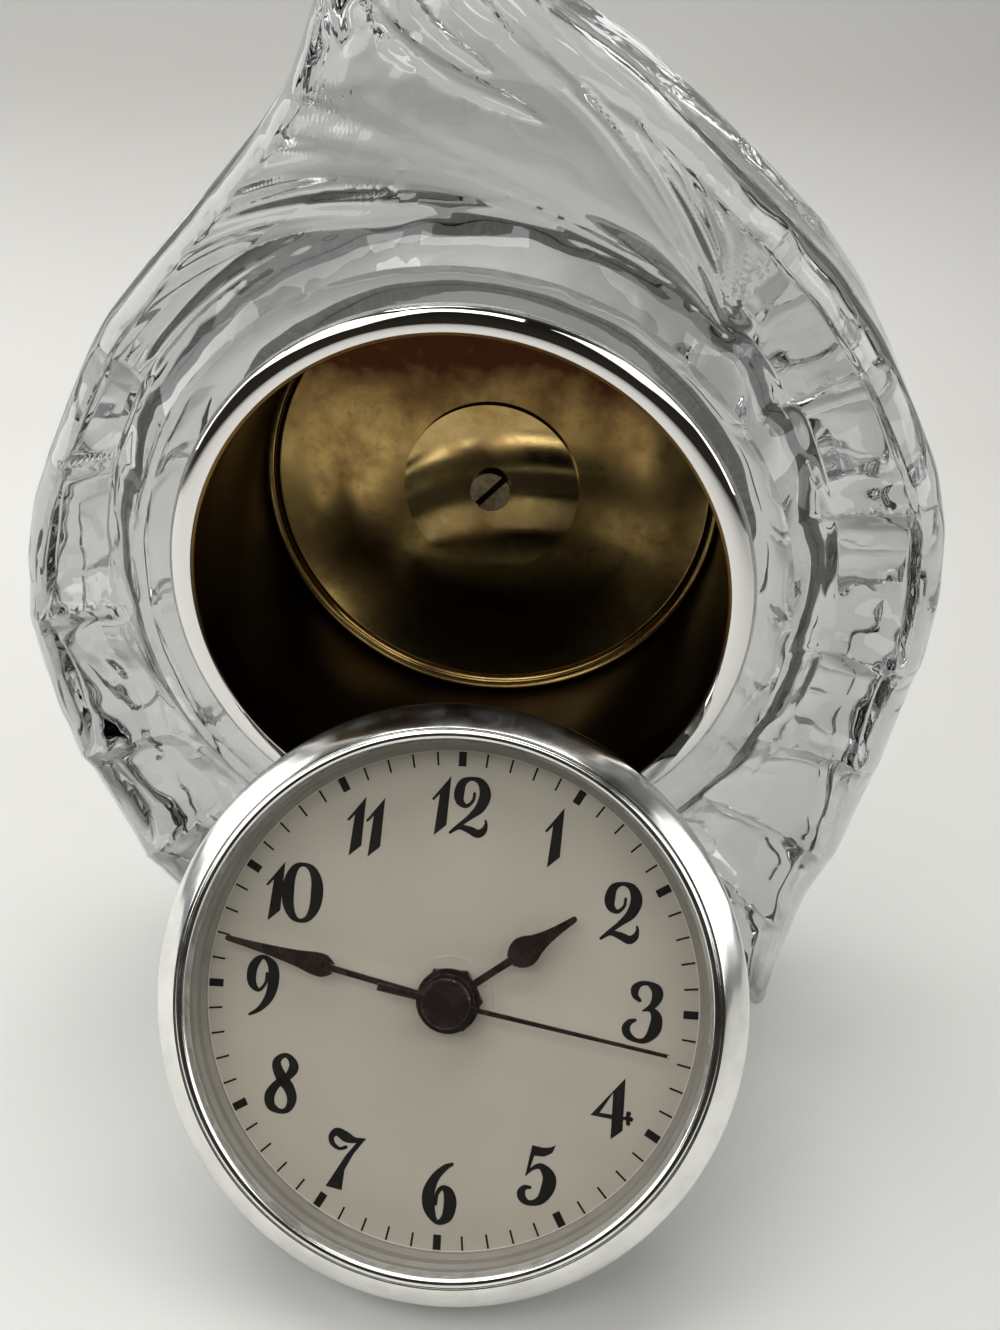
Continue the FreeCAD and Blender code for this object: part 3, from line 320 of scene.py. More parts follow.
def wound_copper():
    """Enamelled copper wire in close turns; the 0.03 mm wire is drawn 0.35 mm thick to show."""
    made, tree, shader, place = new_material("enamelled copper wire, wound", {"Metallic": 1.0})
    # A band of the Wave node is 0.314 wide at a scale of 1.
    turns = add(tree, "ShaderNodeTexWave", {
        "wave_type": "BANDS", "bands_direction": "X", "Scale": 0.314 / (0.35 * MM),
        "Distortion": 0.4,
    }, {"Vector": place}).outputs["Fac"]
    # The grooves between turns are painted with shade, darker than the crests.
    feed(
        tree, shader,
        Base_Color=mixed(tree, turns, "#6E3218", "#C2703E"),
        Roughness=between(tree, turns, 0.42, 0.28, 0, 1),
    )
    bumped(tree, shader, turns, 0.1, 0.8)
    return made


def board_mask():
    """Glass-fibre board under green solder mask, with the buried tracks faintly raised."""
    made, tree, shader, place = new_material("glass-fibre board, solder masked", {"IOR": 1.5})
    tracks = add(
        tree, "ShaderNodeTexVoronoi", {"distance": "MANHATTAN", "Scale": 1 / (2.4 * MM)},
        {"Vector": place},
    ).outputs["Distance"]
    edge = between(tree, tracks, 0, 1, 0.42, 0.5)
    feed(
        tree, shader,
        Base_Color=mixed(tree, edge, "#1E5233", "#2F7A4B"),
        Roughness=between(tree, tracks, 0.28, 0.4, 0, 1),
    )
    bumped(tree, shader, edge, 0.03, 0.7)
    return made


CRYSTAL = lead_crystal()
WINDOW = mineral_glass()
CHROME = plating("chrome plate, polished", "#F3F3EF", "#E2E2DD", 0.12, 0.24, 6, 0.4)
COVER = plating("chrome plate, brushed", "#D6D6D4", "#C2C2BF", 0.28, 0.42, 12)
CUP = cup_nickel()
DISC = plating("nickel plate, turned and tarnished", "#B39A66", "#927748", 0.05, 0.13, 7)
SCREW = slotted_steel()
STEEL = turned("steel, bright turned", "#A9A9A6", "#8B8B88", 0.3)
ZINC = turned("zinc plated steel, pressed", "#BDBDB9", "#9FA09C", 0.36)
BRASS = turned("brass, turned", "#CFA85A", "#A98440", 0.25)
RUBBER = moulded("rubber, moulded", "#1B1B1B", "#242322", 0.6)
CLEAR_SEAL = moulded("vinyl seal, extruded", "#C9C8C3", "#B5B3AC", 0.35)
RING_PAINT = moulded("satin enamel paint, sprayed", "#8F8A82", "#847F77", 0.4, 0.5)
DIAL = dial_paint()
BLACK = moulded("abs plastic, moulded black", "#191919", "#232323", 0.42)
ACETAL = moulded("acetal, moulded", "#E4E0D5", "#D8D3C6", 0.38)
INK = lacquer("printing ink, pad printed", "#0B0908", "#120F0D", 0.6, 0.0, 1.3)
HAND_LACQUER = lacquer("lacquer on aluminium, dipped", "#1A1210", "#2A1C18", 0.2)
COPPER = wound_copper()
BOARD = board_mask()
JACKET = plating("printed steel jacket, rolled", "#6C6E72", "#5A5C60", 0.25, 0.38)
MAGNET = moulded("ferrite magnet, sintered", "#3A3A3C", "#2C2C2E", 0.55, 0.2)
WHITE_INK = lacquer("white ink, pad printed", "#E9E6DF", "#DDD9D0", 0.4)

NODE_FINISHES = {
    DISC: "clamp_disc",
    SCREW: "clamp_screw",
    RUBBER: "grip_band",
    COVER: "rear_cover",
    BLACK: "movement_front_case movement_back_case train_plate",
    WINDOW: "lens",
    CLEAR_SEAL: "lens_seal rim_gasket rear_seal",
    RING_PAINT: "reflector_ring",
    DIAL: "dial dial_washer",
    ZINC: "insert_can",
    BRASS: "centre_bush",
    STEEL: "stator quartz_oscillator battery_contact_positive battery_contact_negative",
    ACETAL: "setting_knob coil_bobbin hour_wheel centre_wheel second_wheel third_wheel "
            "intermediate_wheel rotor motion_wheel",
    COPPER: "coil_winding",
    BOARD: "circuit_board",
    JACKET: "battery",
    MAGNET: "rotor_magnet",
    # The nut under the hands is blackened, so no brass shows round their hub.
    HAND_LACQUER: "second_hand_cap dial_nut",
}
for finish, names in NODE_FINISHES.items():
    for name in names.split():
        for held in nodes[name].material_slots:
            held.material = finish


# Mesh helpers.

def piece(name, points_mm, faces, material, body, place=None, crease_deg=None):
    """A mesh piece from points in millimetres; place moves it from its own axes to the row's."""
    mesh = bpy.data.meshes.new(name)
    mesh.from_pydata([tuple(float(c) * MM for c in p) for p in points_mm], [], faces)
    if place is not None:
        mesh.transform(place)
    mesh.materials.append(material)
    mesh.polygons.foreach_set("use_smooth", [crease_deg is not None] * len(mesh.polygons))
    if crease_deg is not None:
        mesh.set_sharp_from_angle(angle=math.radians(crease_deg))
    mesh.update()
    made = bpy.data.objects.new(name, mesh)
    scene.collection.objects.link(made)
    if body:
        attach(made, body)
    return made


def smooth_line(points, steps, closed=False):
    """Points on a smooth curve through the given points, each a row of numbers."""
    points = np.array(points, float)
    count = len(points)
    out = []
    for i in range(count if closed else count - 1):
        around = range(i - 1, i + 3)
        a, b, c, d = (points[k % count if closed else min(max(k, 0), count - 1)] for k in around)
        for step in range(steps):
            t = step / steps
            out.append(0.5 * (
                2 * b + (c - a) * t + (2 * a - 5 * b + 4 * c - d) * t ** 2
                + (3 * b - a - 3 * c + d) * t ** 3
            ))
    if not closed:
        out.append(points[-1])
    return np.array(out)


def lathed(name, profile, place, material, body, node):
    """A turned piece for a CAD node: a closed profile of (radius, height) round its own Z axis."""
    points, faces = [], []
    segments = 288
    count = len(profile)
    for i in range(segments):
        turn = math.tau * i / segments
        points += [(r * math.cos(turn), r * math.sin(turn), h) for r, h in profile]
    for i in range(segments):
        here, there = i * count, (i + 1) % segments * count
        for k in range(count):
            after = (k + 1) % count
            faces.append((here + k, there + k, there + after, here + after))
    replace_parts(piece(name, points, faces, material, body, place, crease_deg=32), node)


def arc(centre, wide, tall, start_deg, end_deg, steps):
    """Points along part of an ellipse."""
    angles = np.radians(np.linspace(start_deg, end_deg, steps))
    return [(centre[0] + wide * math.cos(a), centre[1] + tall * math.sin(a)) for a in angles]


BORE_PLACE = Matrix(((1, 0, 0, 0), (0, 0, -1, RIM_Y * MM), (0, 1, 0, BORE_UP * MM), (0, 0, 0, 1)))
lathed("cup_spinning", [
    (2.1, -47.3), (42.8, -47.3), (42.8, -1.6), *arc((43.5, -2.0), 3.0, 2.0, 0, 90, 14),
    (43.2, -0.01), (42.85, -0.02), (42.62, -0.12), (42.5, -0.34), (42.3, -0.3), (42.12, -0.42),
    (42, -0.7), (42, -10), (42, -20), (42, -30), (42, -43.4), (41.86, -44.3), (41.4, -45.1),
    (40.8, -45.5), (40.5, -45.55), (40.3, -45.75), (40.05, -45.7), (39.75, -45.95),
    (39.5, -46.4), (39.3, -46.5), (28, -46.5), (14, -46.5), (2.1, -46.5),
], BORE_PLACE, CUP, "case", "cup_shell")
lathed("bezel_turning", [
    (40.1, 0.9), (43.3, 0.9), (43.3, -0.2), (44.6, -0.2), (44.88, -0.08), (45, 0.2), (45, 2.9),
    (44.94, 3.3), (44.7, 3.7), (43.7, 4.72), (42.6, 5.84), (41.5, 6.94), (41.2, 7.16),
    (41.02, 7.16), (40.96, 7.04), (40.84, 7.04), (40.74, 7.34), (40.55, 7.47), (40.3, 7.5),
    (40, 7.5), (39.72, 7.4), (39.55, 7.2), (39.5, 6.95), (40.1, 6.95),
], DIAL_PLACE, CHROME, "insert", "bezel")


# Crystal body.

# Lengths are in millimetres. A radius is a distance from the bore's axis.
BODY_HALF = 76.0
BODY_TALL = 196.0
FACE_Y = 22.0
SIDES = 720
BORE_RADIUS = 43.1
# The collar is a flat land round the bore's mouth, a rounded lip, and a slope into a groove.
LAND_RADIUS = 47.5
LAND_Y = -26.0
LIP_RADIUS = 52.0
LIP_Y = -27.5
LIP_RUFFLE = 0.4
GROOVE_RADIUS = 57.0
RELIEF_Y = -23.5
PLEAT_DEPTH = 4.4
BACK_PLEAT_DEPTH = 2.4
BEVEL_WIDE = 4.0
BEVEL_DEEP = 8.0
BACK_ROUND = 5.0
BACK_LAND_RADIUS = 50.0
BACK_SEAT_RADIUS = 46.5
TIP_TAPER = 0.35
# The body's outline from the tip clockwise: thousandths of half its width and of its height.
OUTLINE = (
    (-230, 1000), (-130, 995), (-30, 967), (60, 942), (154, 915), (310, 877), (455, 831),
    (607, 779), (722, 737), (818, 689), (896, 634), (955, 588), (990, 537), (1000, 480), (986, 430),
    (963, 385), (929, 325), (899, 275), (872, 220), (840, 190), (812, 165), (789, 123), (767, 67),
    (753, 22), (750, -50), (500, -50), (250, -50), (0, -50), (-250, -50), (-500, -50), (-750, -50),
    (-753, 22), (-757, 67), (-762, 110), (-813, 158), (-868, 196), (-905, 230), (-942, 271),
    (-983, 323), (-1000, 370), (-1000, 420), (-986, 479), (-950, 530), (-904, 568), (-843, 617),
    (-782, 660), (-732, 689), (-616, 739), (-495, 788), (-386, 834), (-324, 866), (-285, 905),
    (-262, 935), (-248, 965),
)
# Pleat ridges as clock bearings round the bore: where each starts at the collar, and where it
# ends at the edge.
RIDGES_IN = (
    41.5, 56.0, 74.6, 97.7, 116.2, 131.4, 144, 156, 170, 190, 206, 220.5, 238.2, 263.9, 290.2, 306,
)
RIDGES_OUT = (
    42.5, 57.5, 77.3, 99.5, 114.9, 129.7, 141, 154, 170, 190, 208, 224.5, 240.1, 261.4, 284.9,
    304.6,
)
# Crests of the flame's swept flutes, from the collar outwards: bearing and radius.
FLUTES = (
    ((-58, 71), (-55.4, 68.7), (-42.6, 65.7), (-31.5, 63.7), (-17.7, 60.2), (-6.7, 58.6), (8, 57.6),
     (24, 57.3), (42, 57)),
    ((-38, 71), (-34.4, 69.6), (-28.6, 68.6), (-15.4, 66.4), (-5.9, 64), (9.7, 60.6), (20.4, 58.8),
     (42, 57.1)),
    ((-26, 77), (-23, 74.6), (-18, 71.7), (-6.5, 66.9), (1.7, 63.9), (9.6, 61.5), (20.4, 59.6),
     (31, 58.4), (42, 57.2)),
    ((-22, 82), (-17.9, 79), (-13.4, 76), (-6.5, 70.2), (-0.2, 66.2), (7.1, 63.2), (17.3, 60.6),
     (31, 58.7), (42, 57.3)),
    ((-11, 103), (-6, 93), (-2.2, 87.4), (1, 82.8), (4.4, 79.9), (9.5, 75.8), (16.3, 70.9),
     (22.6, 66.3), (31, 61.6), (42, 57.4)),
    ((-4, 100), (3.1, 87), (7.3, 81.5), (12.8, 77.2), (17.9, 73.1), (23, 69.1), (30.6, 63.6),
     (42, 57.5)),
    ((2, 98), (9.4, 86.6), (15.8, 81.5), (22.8, 75.5), (28.2, 71.6), (34.1, 67.3), (36.5, 64.8),
     (42, 57.6)),
    ((10, 93), (17.3, 84), (25.1, 78.4), (32, 73), (35.6, 69.5), (38.8, 64.9), (42, 57.7)),
    ((30, 95), (36, 88), (40, 84), (44, 81), (48, 79)),
)
# How deep the hollow is outside each crest, with the collar's groove as the first.
FLUTE_DEPTHS = (2.2, 2.6, 2.8, 2.2, 0.5, 3.6, 3.0, 3.2, 3.2, 2.6)
# The window's long ridge among the crests, with the collar's groove as 0.
LONG_RIDGE = 5
# Two leaves pressed into the flat window: bearing, near and far radius.
LEAVES = (
    ((-12, 97, 106), (-10, 90, 98), (-8.8, 86, 92), (-7.4, 80.5, 85.8), (-3.1, 75.8, 79.5),
     (2, 72.7, 76.2), (7, 71.3, 73.8), (11.3, 70.7, 70.7)),
    ((-12, 107, 112), (-10, 99.5, 104), (-8.2, 93, 96.5), (-2.9, 82, 84.5), (2, 77.2, 79),
     (4.6, 76.1, 76.1)),
)


def wrapped(bearings):
    """Bearings from -180 to 180, with 0 straight up."""
    return (bearings + 180) % 360 - 180


def fade(value, start, wide):
    """Rises from 0 at start to 1 over wide, and stays there."""
    return np.clip((value - start) / wide, 0, 1)


def ease(share):
    """A share from 0 to 1 with a soft start and end."""
    return share * share * (3 - 2 * share)


def shares(steps):
    """Equal steps up to 1, without the 0."""
    return np.linspace(0, 1, steps + 1)[1:]


def swell(x, z, y, size, seed):
    """Soft waves that pressing leaves in the glass, from -1 to 1; y may be one number."""
    return np.array([
        noise.noise(Vector((a / size + seed, b / size, c / size)))
        for a, b, c in zip(x, z, np.broadcast_to(y, x.shape))
    ])


def outline_reach(bearings):
    """Distance of the softened outline from the bore's axis, at each bearing."""
    points = [(x / 1000 * BODY_HALF, z / 1000 * BODY_TALL - BORE_UP) for x, z in OUTLINE]
    corners = sorted((math.degrees(math.atan2(x, z)) % 360, x, z) for x, z in points)
    reach = []
    for bearing in bearings:
        dx, dz = math.sin(math.radians(bearing)), math.cos(math.radians(bearing))
        for i, (first, x0, z0) in enumerate(corners):
            second, x1, z1 = corners[(i + 1) % len(corners)]
            if (bearing - first) % 360 <= (second - first) % 360:
                ex, ez = x1 - x0, z1 - z0
                reach.append((x0 * ez - z0 * ex) / (dx * ez - dz * ex))
                break
    reach = np.array(reach)
    weights = np.exp(-0.5 * (np.arange(-6, 7) / 2.2) ** 2)
    weights /= weights.sum()
    padded = np.concatenate([reach[-6:], reach, reach[:6]])
    return np.convolve(padded, weights, "valid")


def wander(bearings, radii):
    """How far, in millimetres, the ripples beside a crest stray along it."""
    return 0.9 * np.sin(radii / 2.3 + bearings / 7) + 0.6 * np.sin(radii / 1.3 - bearings / 11)


def banked(gap, bearings, radii, wall, length, high):
    """A steep bank that rises off a crest, gap away, and levels out, with ripples beside it.

    wall is how wide the bank is, length how long the ripples are, high how high they start.
    """
    bank = 1 - np.exp(-(gap / wall) ** 1.5)
    swing = fade(gap, 0, 3) * wander(bearings, radii)
    ripple = np.cos(math.tau * (gap + 0.5 * swing) / length)
    # The ripples die out within some 10 mm of the crest, and leave the crest itself sharp.
    return bank + high * np.exp(-gap / 4.5) * ripple * np.clip(gap, 0, 1)


def ridge_hollow(bearings, share, radii):
    """Hollow of the radial pleats, 0 on a ridge; share is 0 at the collar and 1 at the edge."""
    ridges = np.array(RIDGES_IN) + (np.array(RIDGES_OUT) - np.array(RIDGES_IN)) * share
    angle = bearings % 360
    index = np.clip(np.searchsorted(ridges, angle) - 1, 0, len(ridges) - 2)
    low, high = ridges[index], ridges[index + 1]
    along = np.clip((angle - low) / (high - low), 0, 1)
    gap = np.minimum(along * 0.8, 1 - along) * np.radians(high - low) * radii
    bowl = np.sin(np.pi * along ** 0.75)
    bank = banked(gap, bearings, radii, 2.6, 4.2, 0.22)
    # Wide pleats are deeper than narrow ones.
    return (0.35 * bank + bowl) * np.clip((high - low) / 16, 0.6, 1.2)


def flute_hollow(bearings, radii, edge):
    """Depth in millimetres of the swept flutes under the crests, over the flame."""
    angle = wrapped(bearings)
    crests = [np.full(len(angle), GROOVE_RADIUS)]
    for line in FLUTES:
        knots = smooth_line(line, 8)
        slope = (knots[1, 1] - knots[0, 1]) / (knots[1, 0] - knots[0, 0])
        at = np.interp(angle, knots[:, 0], knots[:, 1])
        at = np.where(angle < knots[0, 0], knots[0, 1] + slope * (angle - knots[0, 0]), at)
        crests.append(np.maximum(at, crests[-1]))
    crests.append(np.maximum(crests[-1] + 14, edge + 6))
    depth = np.zeros(len(angle))
    streaks = np.zeros(len(angle))
    for i, most in enumerate(FLUTE_DEPTHS):
        low, high = crests[i], crests[i + 1]
        wide = np.maximum(high - low, 1e-6)
        along = (radii - low) / wide
        inside = (along >= 0) & (along < 1)
        gap = np.clip(np.minimum(radii - low, high - radii), 0, None)
        if most > 1:
            bowl = banked(gap, bearings, radii, 2.8, 3.4, 0.2)
            # Long streaks run along each deep hollow.
            lane = swell((i + along) * 2.5, angle / 18, 0, 1.0, 4.4)
            streaks = np.where(inside, np.minimum(0.6, 0.13 * wide) * lane, streaks)
        else:
            bowl = np.sin(np.pi * np.clip(along, 0, 1))
        depth = np.where(inside, np.minimum(most, 0.45 * wide) * bowl, depth)
    # Right of the window's long ridge the flank falls away to the edge.
    fall = fade(radii, crests[LONG_RIDGE], 22) * 2.2
    for leaf in LEAVES:
        line = smooth_line(leaf, 8)
        near = np.interp(angle, line[:, 0], line[:, 1])
        far = np.interp(angle, line[:, 0], line[:, 2])
        wide = np.maximum(far - near, 1e-6)
        along = (radii - near) / wide
        inside = (along > 0) & (along < 1) & (angle < line[-1, 0]) & (angle > line[0, 0])
        bowl = np.sin(np.pi * np.clip(along, 0, 1)) ** 0.7 * fade(angle, line[0, 0], 6)
        depth = np.where(inside, np.minimum(2.0, 0.45 * wide) * bowl + depth * 0.6, depth)
    return depth + fall + streaks


def crystal_body():
    """The pressed glass body, one skin: collar, pleats and flutes, edge, back and bore."""
    bearings = np.arange(SIDES) * 360 / SIDES
    angle = wrapped(bearings)
    sin, cos = np.sin(np.radians(bearings)), np.cos(np.radians(bearings))
    edge = outline_reach(bearings)
    taper = np.maximum(0, edge - BODY_HALF) * TIP_TAPER
    front = -FACE_Y + taper
    back = FACE_Y - taper
    # Where the flame's swept flutes take the place of the pleats.
    flame = ease(fade(angle, -60, 8)) * ease(fade(-angle, -47, 8))
    rows = []

    def ring(radius, y):
        """One loop of points round the bore's axis."""
        radius = np.broadcast_to(radius, (SIDES,)).astype(float)
        y = np.broadcast_to(y, (SIDES,)).astype(float)
        rows.append((radius * sin, y, BORE_UP + radius * cos))

    def tapered(radii):
        """How far the faces draw in: over the flame by radius, elsewhere as far as at the edge."""
        return np.where(np.abs(angle) < 70, np.maximum(0, radii - BODY_HALF) * TIP_TAPER, taper)

    def lip_wave(radii):
        """Small waves of the collar's lip."""
        return swell(radii * sin, radii * cos, 40, 6, 2.2)

    def relief(radii, share):
        """Depth of the pleats, or over the flame of the flutes."""
        pleats = PLEAT_DEPTH * (0.55 + 0.45 * share) * ridge_hollow(bearings, share, radii)
        flutes = flute_hollow(bearings, radii, edge)
        return pleats * (1 - flame) + flutes * flame

    # The collar: its land, its lip and its slope into the groove.
    for share in np.linspace(0, 1, 4):
        ring(BORE_RADIUS + (LAND_RADIUS - BORE_RADIUS) * share, LAND_Y)
    for share in shares(8):
        radii = (LAND_RADIUS + (LIP_RADIUS - LAND_RADIUS) * share) * np.ones(SIDES)
        ruffle = LIP_RUFFLE * share * lip_wave(radii)
        crown = 0.55 * math.sin(math.pi * share)
        ring(radii, LAND_Y + (LIP_Y - LAND_Y) * share + crown + ruffle)
    start = RELIEF_Y + relief(GROOVE_RADIUS * np.ones(SIDES), 0.0) * 0.5
    for share in shares(8):
        radii = (LIP_RADIUS + (GROOVE_RADIUS - LIP_RADIUS) * share) * np.ones(SIDES)
        dip = 0.5 * math.sin(math.pi * share)
        ring(radii, LIP_Y + (start - LIP_Y) * share + dip + LIP_RUFFLE * lip_wave(radii))

    # The front, from the groove to the bevel.
    reach = edge - BEVEL_WIDE - GROOVE_RADIUS
    for share in shares(55):
        radii = GROOVE_RADIUS + reach * share
        x, z = radii * sin, radii * cos
        level = RELIEF_Y + (0.5 + flame + tapered(radii)) * min(1, share / 0.35)
        # The relief grows in over the first seventh, and more than half of it fades at the bevel.
        grown = 0.5 + 0.5 * min(1, share / 0.15)
        kept_at_bevel = 1 - 0.6 * ease(max(0, share - 0.9) / 0.1)
        deep = relief(radii, share) * grown * kept_at_bevel
        curl = 2.1 * swell(x, z, level, 12, 6.4) + 0.15 * swell(x, z, level, 4.2, 1.7)
        # The flame's upper left is the most restless.
        restless = fade(-angle, -3, 10) * fade(angle, -36, 10) * fade(radii, 68, 10)
        wave = (1 - flame) * curl * min(1, share / 0.1) + 0.3 * swell(x, z, level, 7, 3.1)
        ring(radii, level + deep + (wave + 0.8 * restless * swell(x, z, level, 3.4, 8.7)))

    # The bevel, the edge and the rounding into the back.
    last = rows[-1][1]
    for share in shares(8):
        turn = math.sin(share * math.pi / 2)
        down = 0.45 * share + 0.55 * (1 - math.cos(share * math.pi / 2))
        ring(edge - BEVEL_WIDE * (1 - turn), last + (front + BEVEL_DEEP - last) * down)
    straight = back - front - (BEVEL_DEEP + BACK_ROUND)
    for share in shares(11):
        ring(edge - 0.6 * math.sin(math.pi * share), front + BEVEL_DEEP + straight * share)
    low = rows[-1][1]
    for share in shares(5):
        turn = 1 - math.cos(share * math.pi / 2)
        ring(edge - BACK_ROUND * turn, low + (back - low) * math.sin(share * math.pi / 2))

    # The back with its softer pleats, the rear cover's seat, and the bore.
    for share in shares(33):
        radii = edge - BACK_ROUND + (BACK_LAND_RADIUS - edge + BACK_ROUND) * share
        x, z = radii * sin, radii * cos
        rise = math.sin(math.pi * share) ** 0.6
        hollow = BACK_PLEAT_DEPTH * ridge_hollow(bearings + 9, 1 - share, radii) * rise
        wave = 0.15 * (1 + swell(x, z, 20, 10, 5.5)) * rise
        ring(radii, FACE_Y - tapered(radii) - hollow * (1 - flame * 0.6) - wave)
    ring(BACK_SEAT_RADIUS, FACE_Y)
    for y in np.linspace(FACE_Y, LAND_Y, 8)[:-1]:
        ring(BORE_RADIUS, y)

    rings = len(rows)
    points = np.concatenate([np.stack(row, axis=1) for row in rows])
    faces = []
    for k in range(rings):
        here, there = k * SIDES, ((k + 1) % rings) * SIDES
        for j in range(SIDES):
            after = (j + 1) % SIDES
            faces.append((here + j, here + after, there + after, there + j))
    made = piece("crystal_skin", points, faces, CRYSTAL, None)
    # The foot is cut flat at the floor.
    solid = bmesh.new()
    solid.from_mesh(made.data)
    cut = bmesh.ops.bisect_plane(
        solid, geom=solid.verts[:] + solid.edges[:] + solid.faces[:], dist=1e-7,
        plane_co=(0, 0, 0), plane_no=(0, 0, -1), clear_outer=True,
    )
    rim = [e for e in cut["geom_cut"] if isinstance(e, bmesh.types.BMEdge)]
    bmesh.ops.holes_fill(solid, edges=rim, sides=0)
    bmesh.ops.recalc_face_normals(solid, faces=solid.faces)
    for face in solid.faces:
        face.smooth = True
    solid.to_mesh(made.data)
    solid.free()
    made.data.set_sharp_from_angle(angle=math.radians(38))
    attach(made, "case")
    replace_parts(made, "crystal_body")


crystal_body()


# Dial printing.

# The ink lies just clear of the dial, in millimetres. Shapes that overlap are LAYER_STEP apart.
INK_FLOOR = 0.004
INK_THICK = 0.03
LAYER_STEP = 0.0008
LAYERS = 5
NUMERAL_TALL = 9.2
NUMERAL_RING = 29.2
NUMERAL_GAP = 0.01
# Where hour blocks and minute ticks start and end, and half their widths.
HOUR_BLOCK = (35.35, 37.6, 0.6)
MINUTE_TICK = (35.5, 37.6, 0.15)
CIRCLE_IN = 37.66
CIRCLE_OUT = 37.8
PRINT_TURN = math.radians(0.5)
STROKE_WEIGHT = 1.13
# Each numeral is drawn in strokes of (across, up, half width) and in solid outlines, in
# thousandths of its height.
NUMERALS = {
    "0": {"wide": 620, "round": [[
        (310, 968, 30), (450, 900, 55), (540, 720, 82), (560, 500, 95), (530, 260, 80),
        (430, 80, 50), (290, 32, 30), (170, 100, 55), (85, 280, 82), (65, 500, 93), (90, 740, 80),
        (180, 920, 52),
    ]]},
    "1": {"wide": 311, "solid": [
        [(311, 1000), (270, 180), (63, 0), (132, 689), (36, 580), (0, 600)],
    ]},
    "2": {"wide": 650, "stroke": [
        [(394, 730, 22), (375, 610, 24), (270, 515, 32), (160, 580, 60), (135, 720, 78),
         (190, 900, 60), (340, 972, 30), (500, 910, 60), (573, 720, 87), (500, 500, 75),
         (330, 330, 42), (140, 170, 30), (15, 60, 20)],
        [(20, 60, 18), (170, 155, 34), (340, 120, 55), (480, 65, 62), (575, 120, 50),
         (610, 220, 26), (600, 290, 16)],
    ]},
    "3": {"wide": 640, "stroke": [
        [(270, 685, 28), (195, 760, 48), (190, 870, 60), (270, 950, 40), (400, 965, 35),
         (530, 880, 78), (555, 760, 80), (480, 610, 50), (330, 520, 12)],
        [(330, 520, 12), (460, 545, 40), (555, 420, 80), (530, 220, 90), (400, 55, 48),
         (250, 35, 33), (110, 110, 55), (65, 220, 60), (120, 320, 45), (210, 360, 25)],
    ]},
    "4": {"wide": 680, "solid": [
        [(546, 1000), (537, 153), (347, 0), (356, 760)],
        [(546, 1000), (356, 745), (147, 408), (0, 368)],
        [(0, 368), (147, 415), (360, 400), (360, 325)],
    ], "stroke": [
        [(530, 350, 22), (600, 360, 26), (665, 345, 34)],
        [(600, 360, 20), (622, 430, 38)],
        [(600, 350, 20), (622, 275, 32)],
    ]},
    "5": {"wide": 610, "solid": [
        [(204, 972), (380, 945), (500, 955), (595, 1005), (540, 870), (410, 800), (235, 805)],
        [(204, 972), (245, 800), (190, 600), (112, 465)],
    ], "stroke": [
        [(120, 480, 10), (240, 605, 28), (375, 635, 50), (505, 480, 95), (490, 290, 100),
         (380, 100, 65), (210, 40, 38), (100, 90, 55), (60, 190, 62), (110, 280, 40),
         (205, 290, 22)],
    ]},
    "6": {"wide": 560, "stroke": [
        [(465, 985, 25), (350, 920, 45), (195, 750, 65), (100, 500, 90), (125, 240, 85),
         (260, 35, 35), (420, 130, 80), (465, 360, 95), (420, 530, 75), (320, 590, 38),
         (240, 490, 30), (225, 320, 24)],
    ]},
    "7": {"wide": 630, "solid": [
        [(630, 860), (435, 600), (300, 330), (270, -5), (-5, 43), (165, 330), (300, 560),
         (475, 785)],
    ], "stroke": [
        [(300, 700, 27), (190, 670, 24), (75, 745, 37), (50, 860, 45), (140, 940, 60),
         (300, 865, 75), (440, 825, 45), (610, 850, 15)],
    ]},
    "8": {"wide": 540, "round": [[
        (172, 776, 72), (270, 585, 85), (400, 430, 80), (460, 250, 72), (400, 85, 50),
        (270, 40, 36), (115, 120, 67), (80, 290, 77), (190, 480, 60), (360, 605, 57),
        (460, 765, 75), (410, 905, 50), (300, 963, 36), (190, 890, 55),
    ]]},
    "9": {"wide": 540, "stroke": [
        [(337, 703, 24), (320, 545, 24), (210, 425, 30), (90, 540, 64), (80, 755, 74),
         (160, 915, 58), (280, 973, 32), (425, 835, 74), (454, 600, 85), (400, 330, 70),
         (250, 120, 42), (80, 15, 20)],
    ]},
}


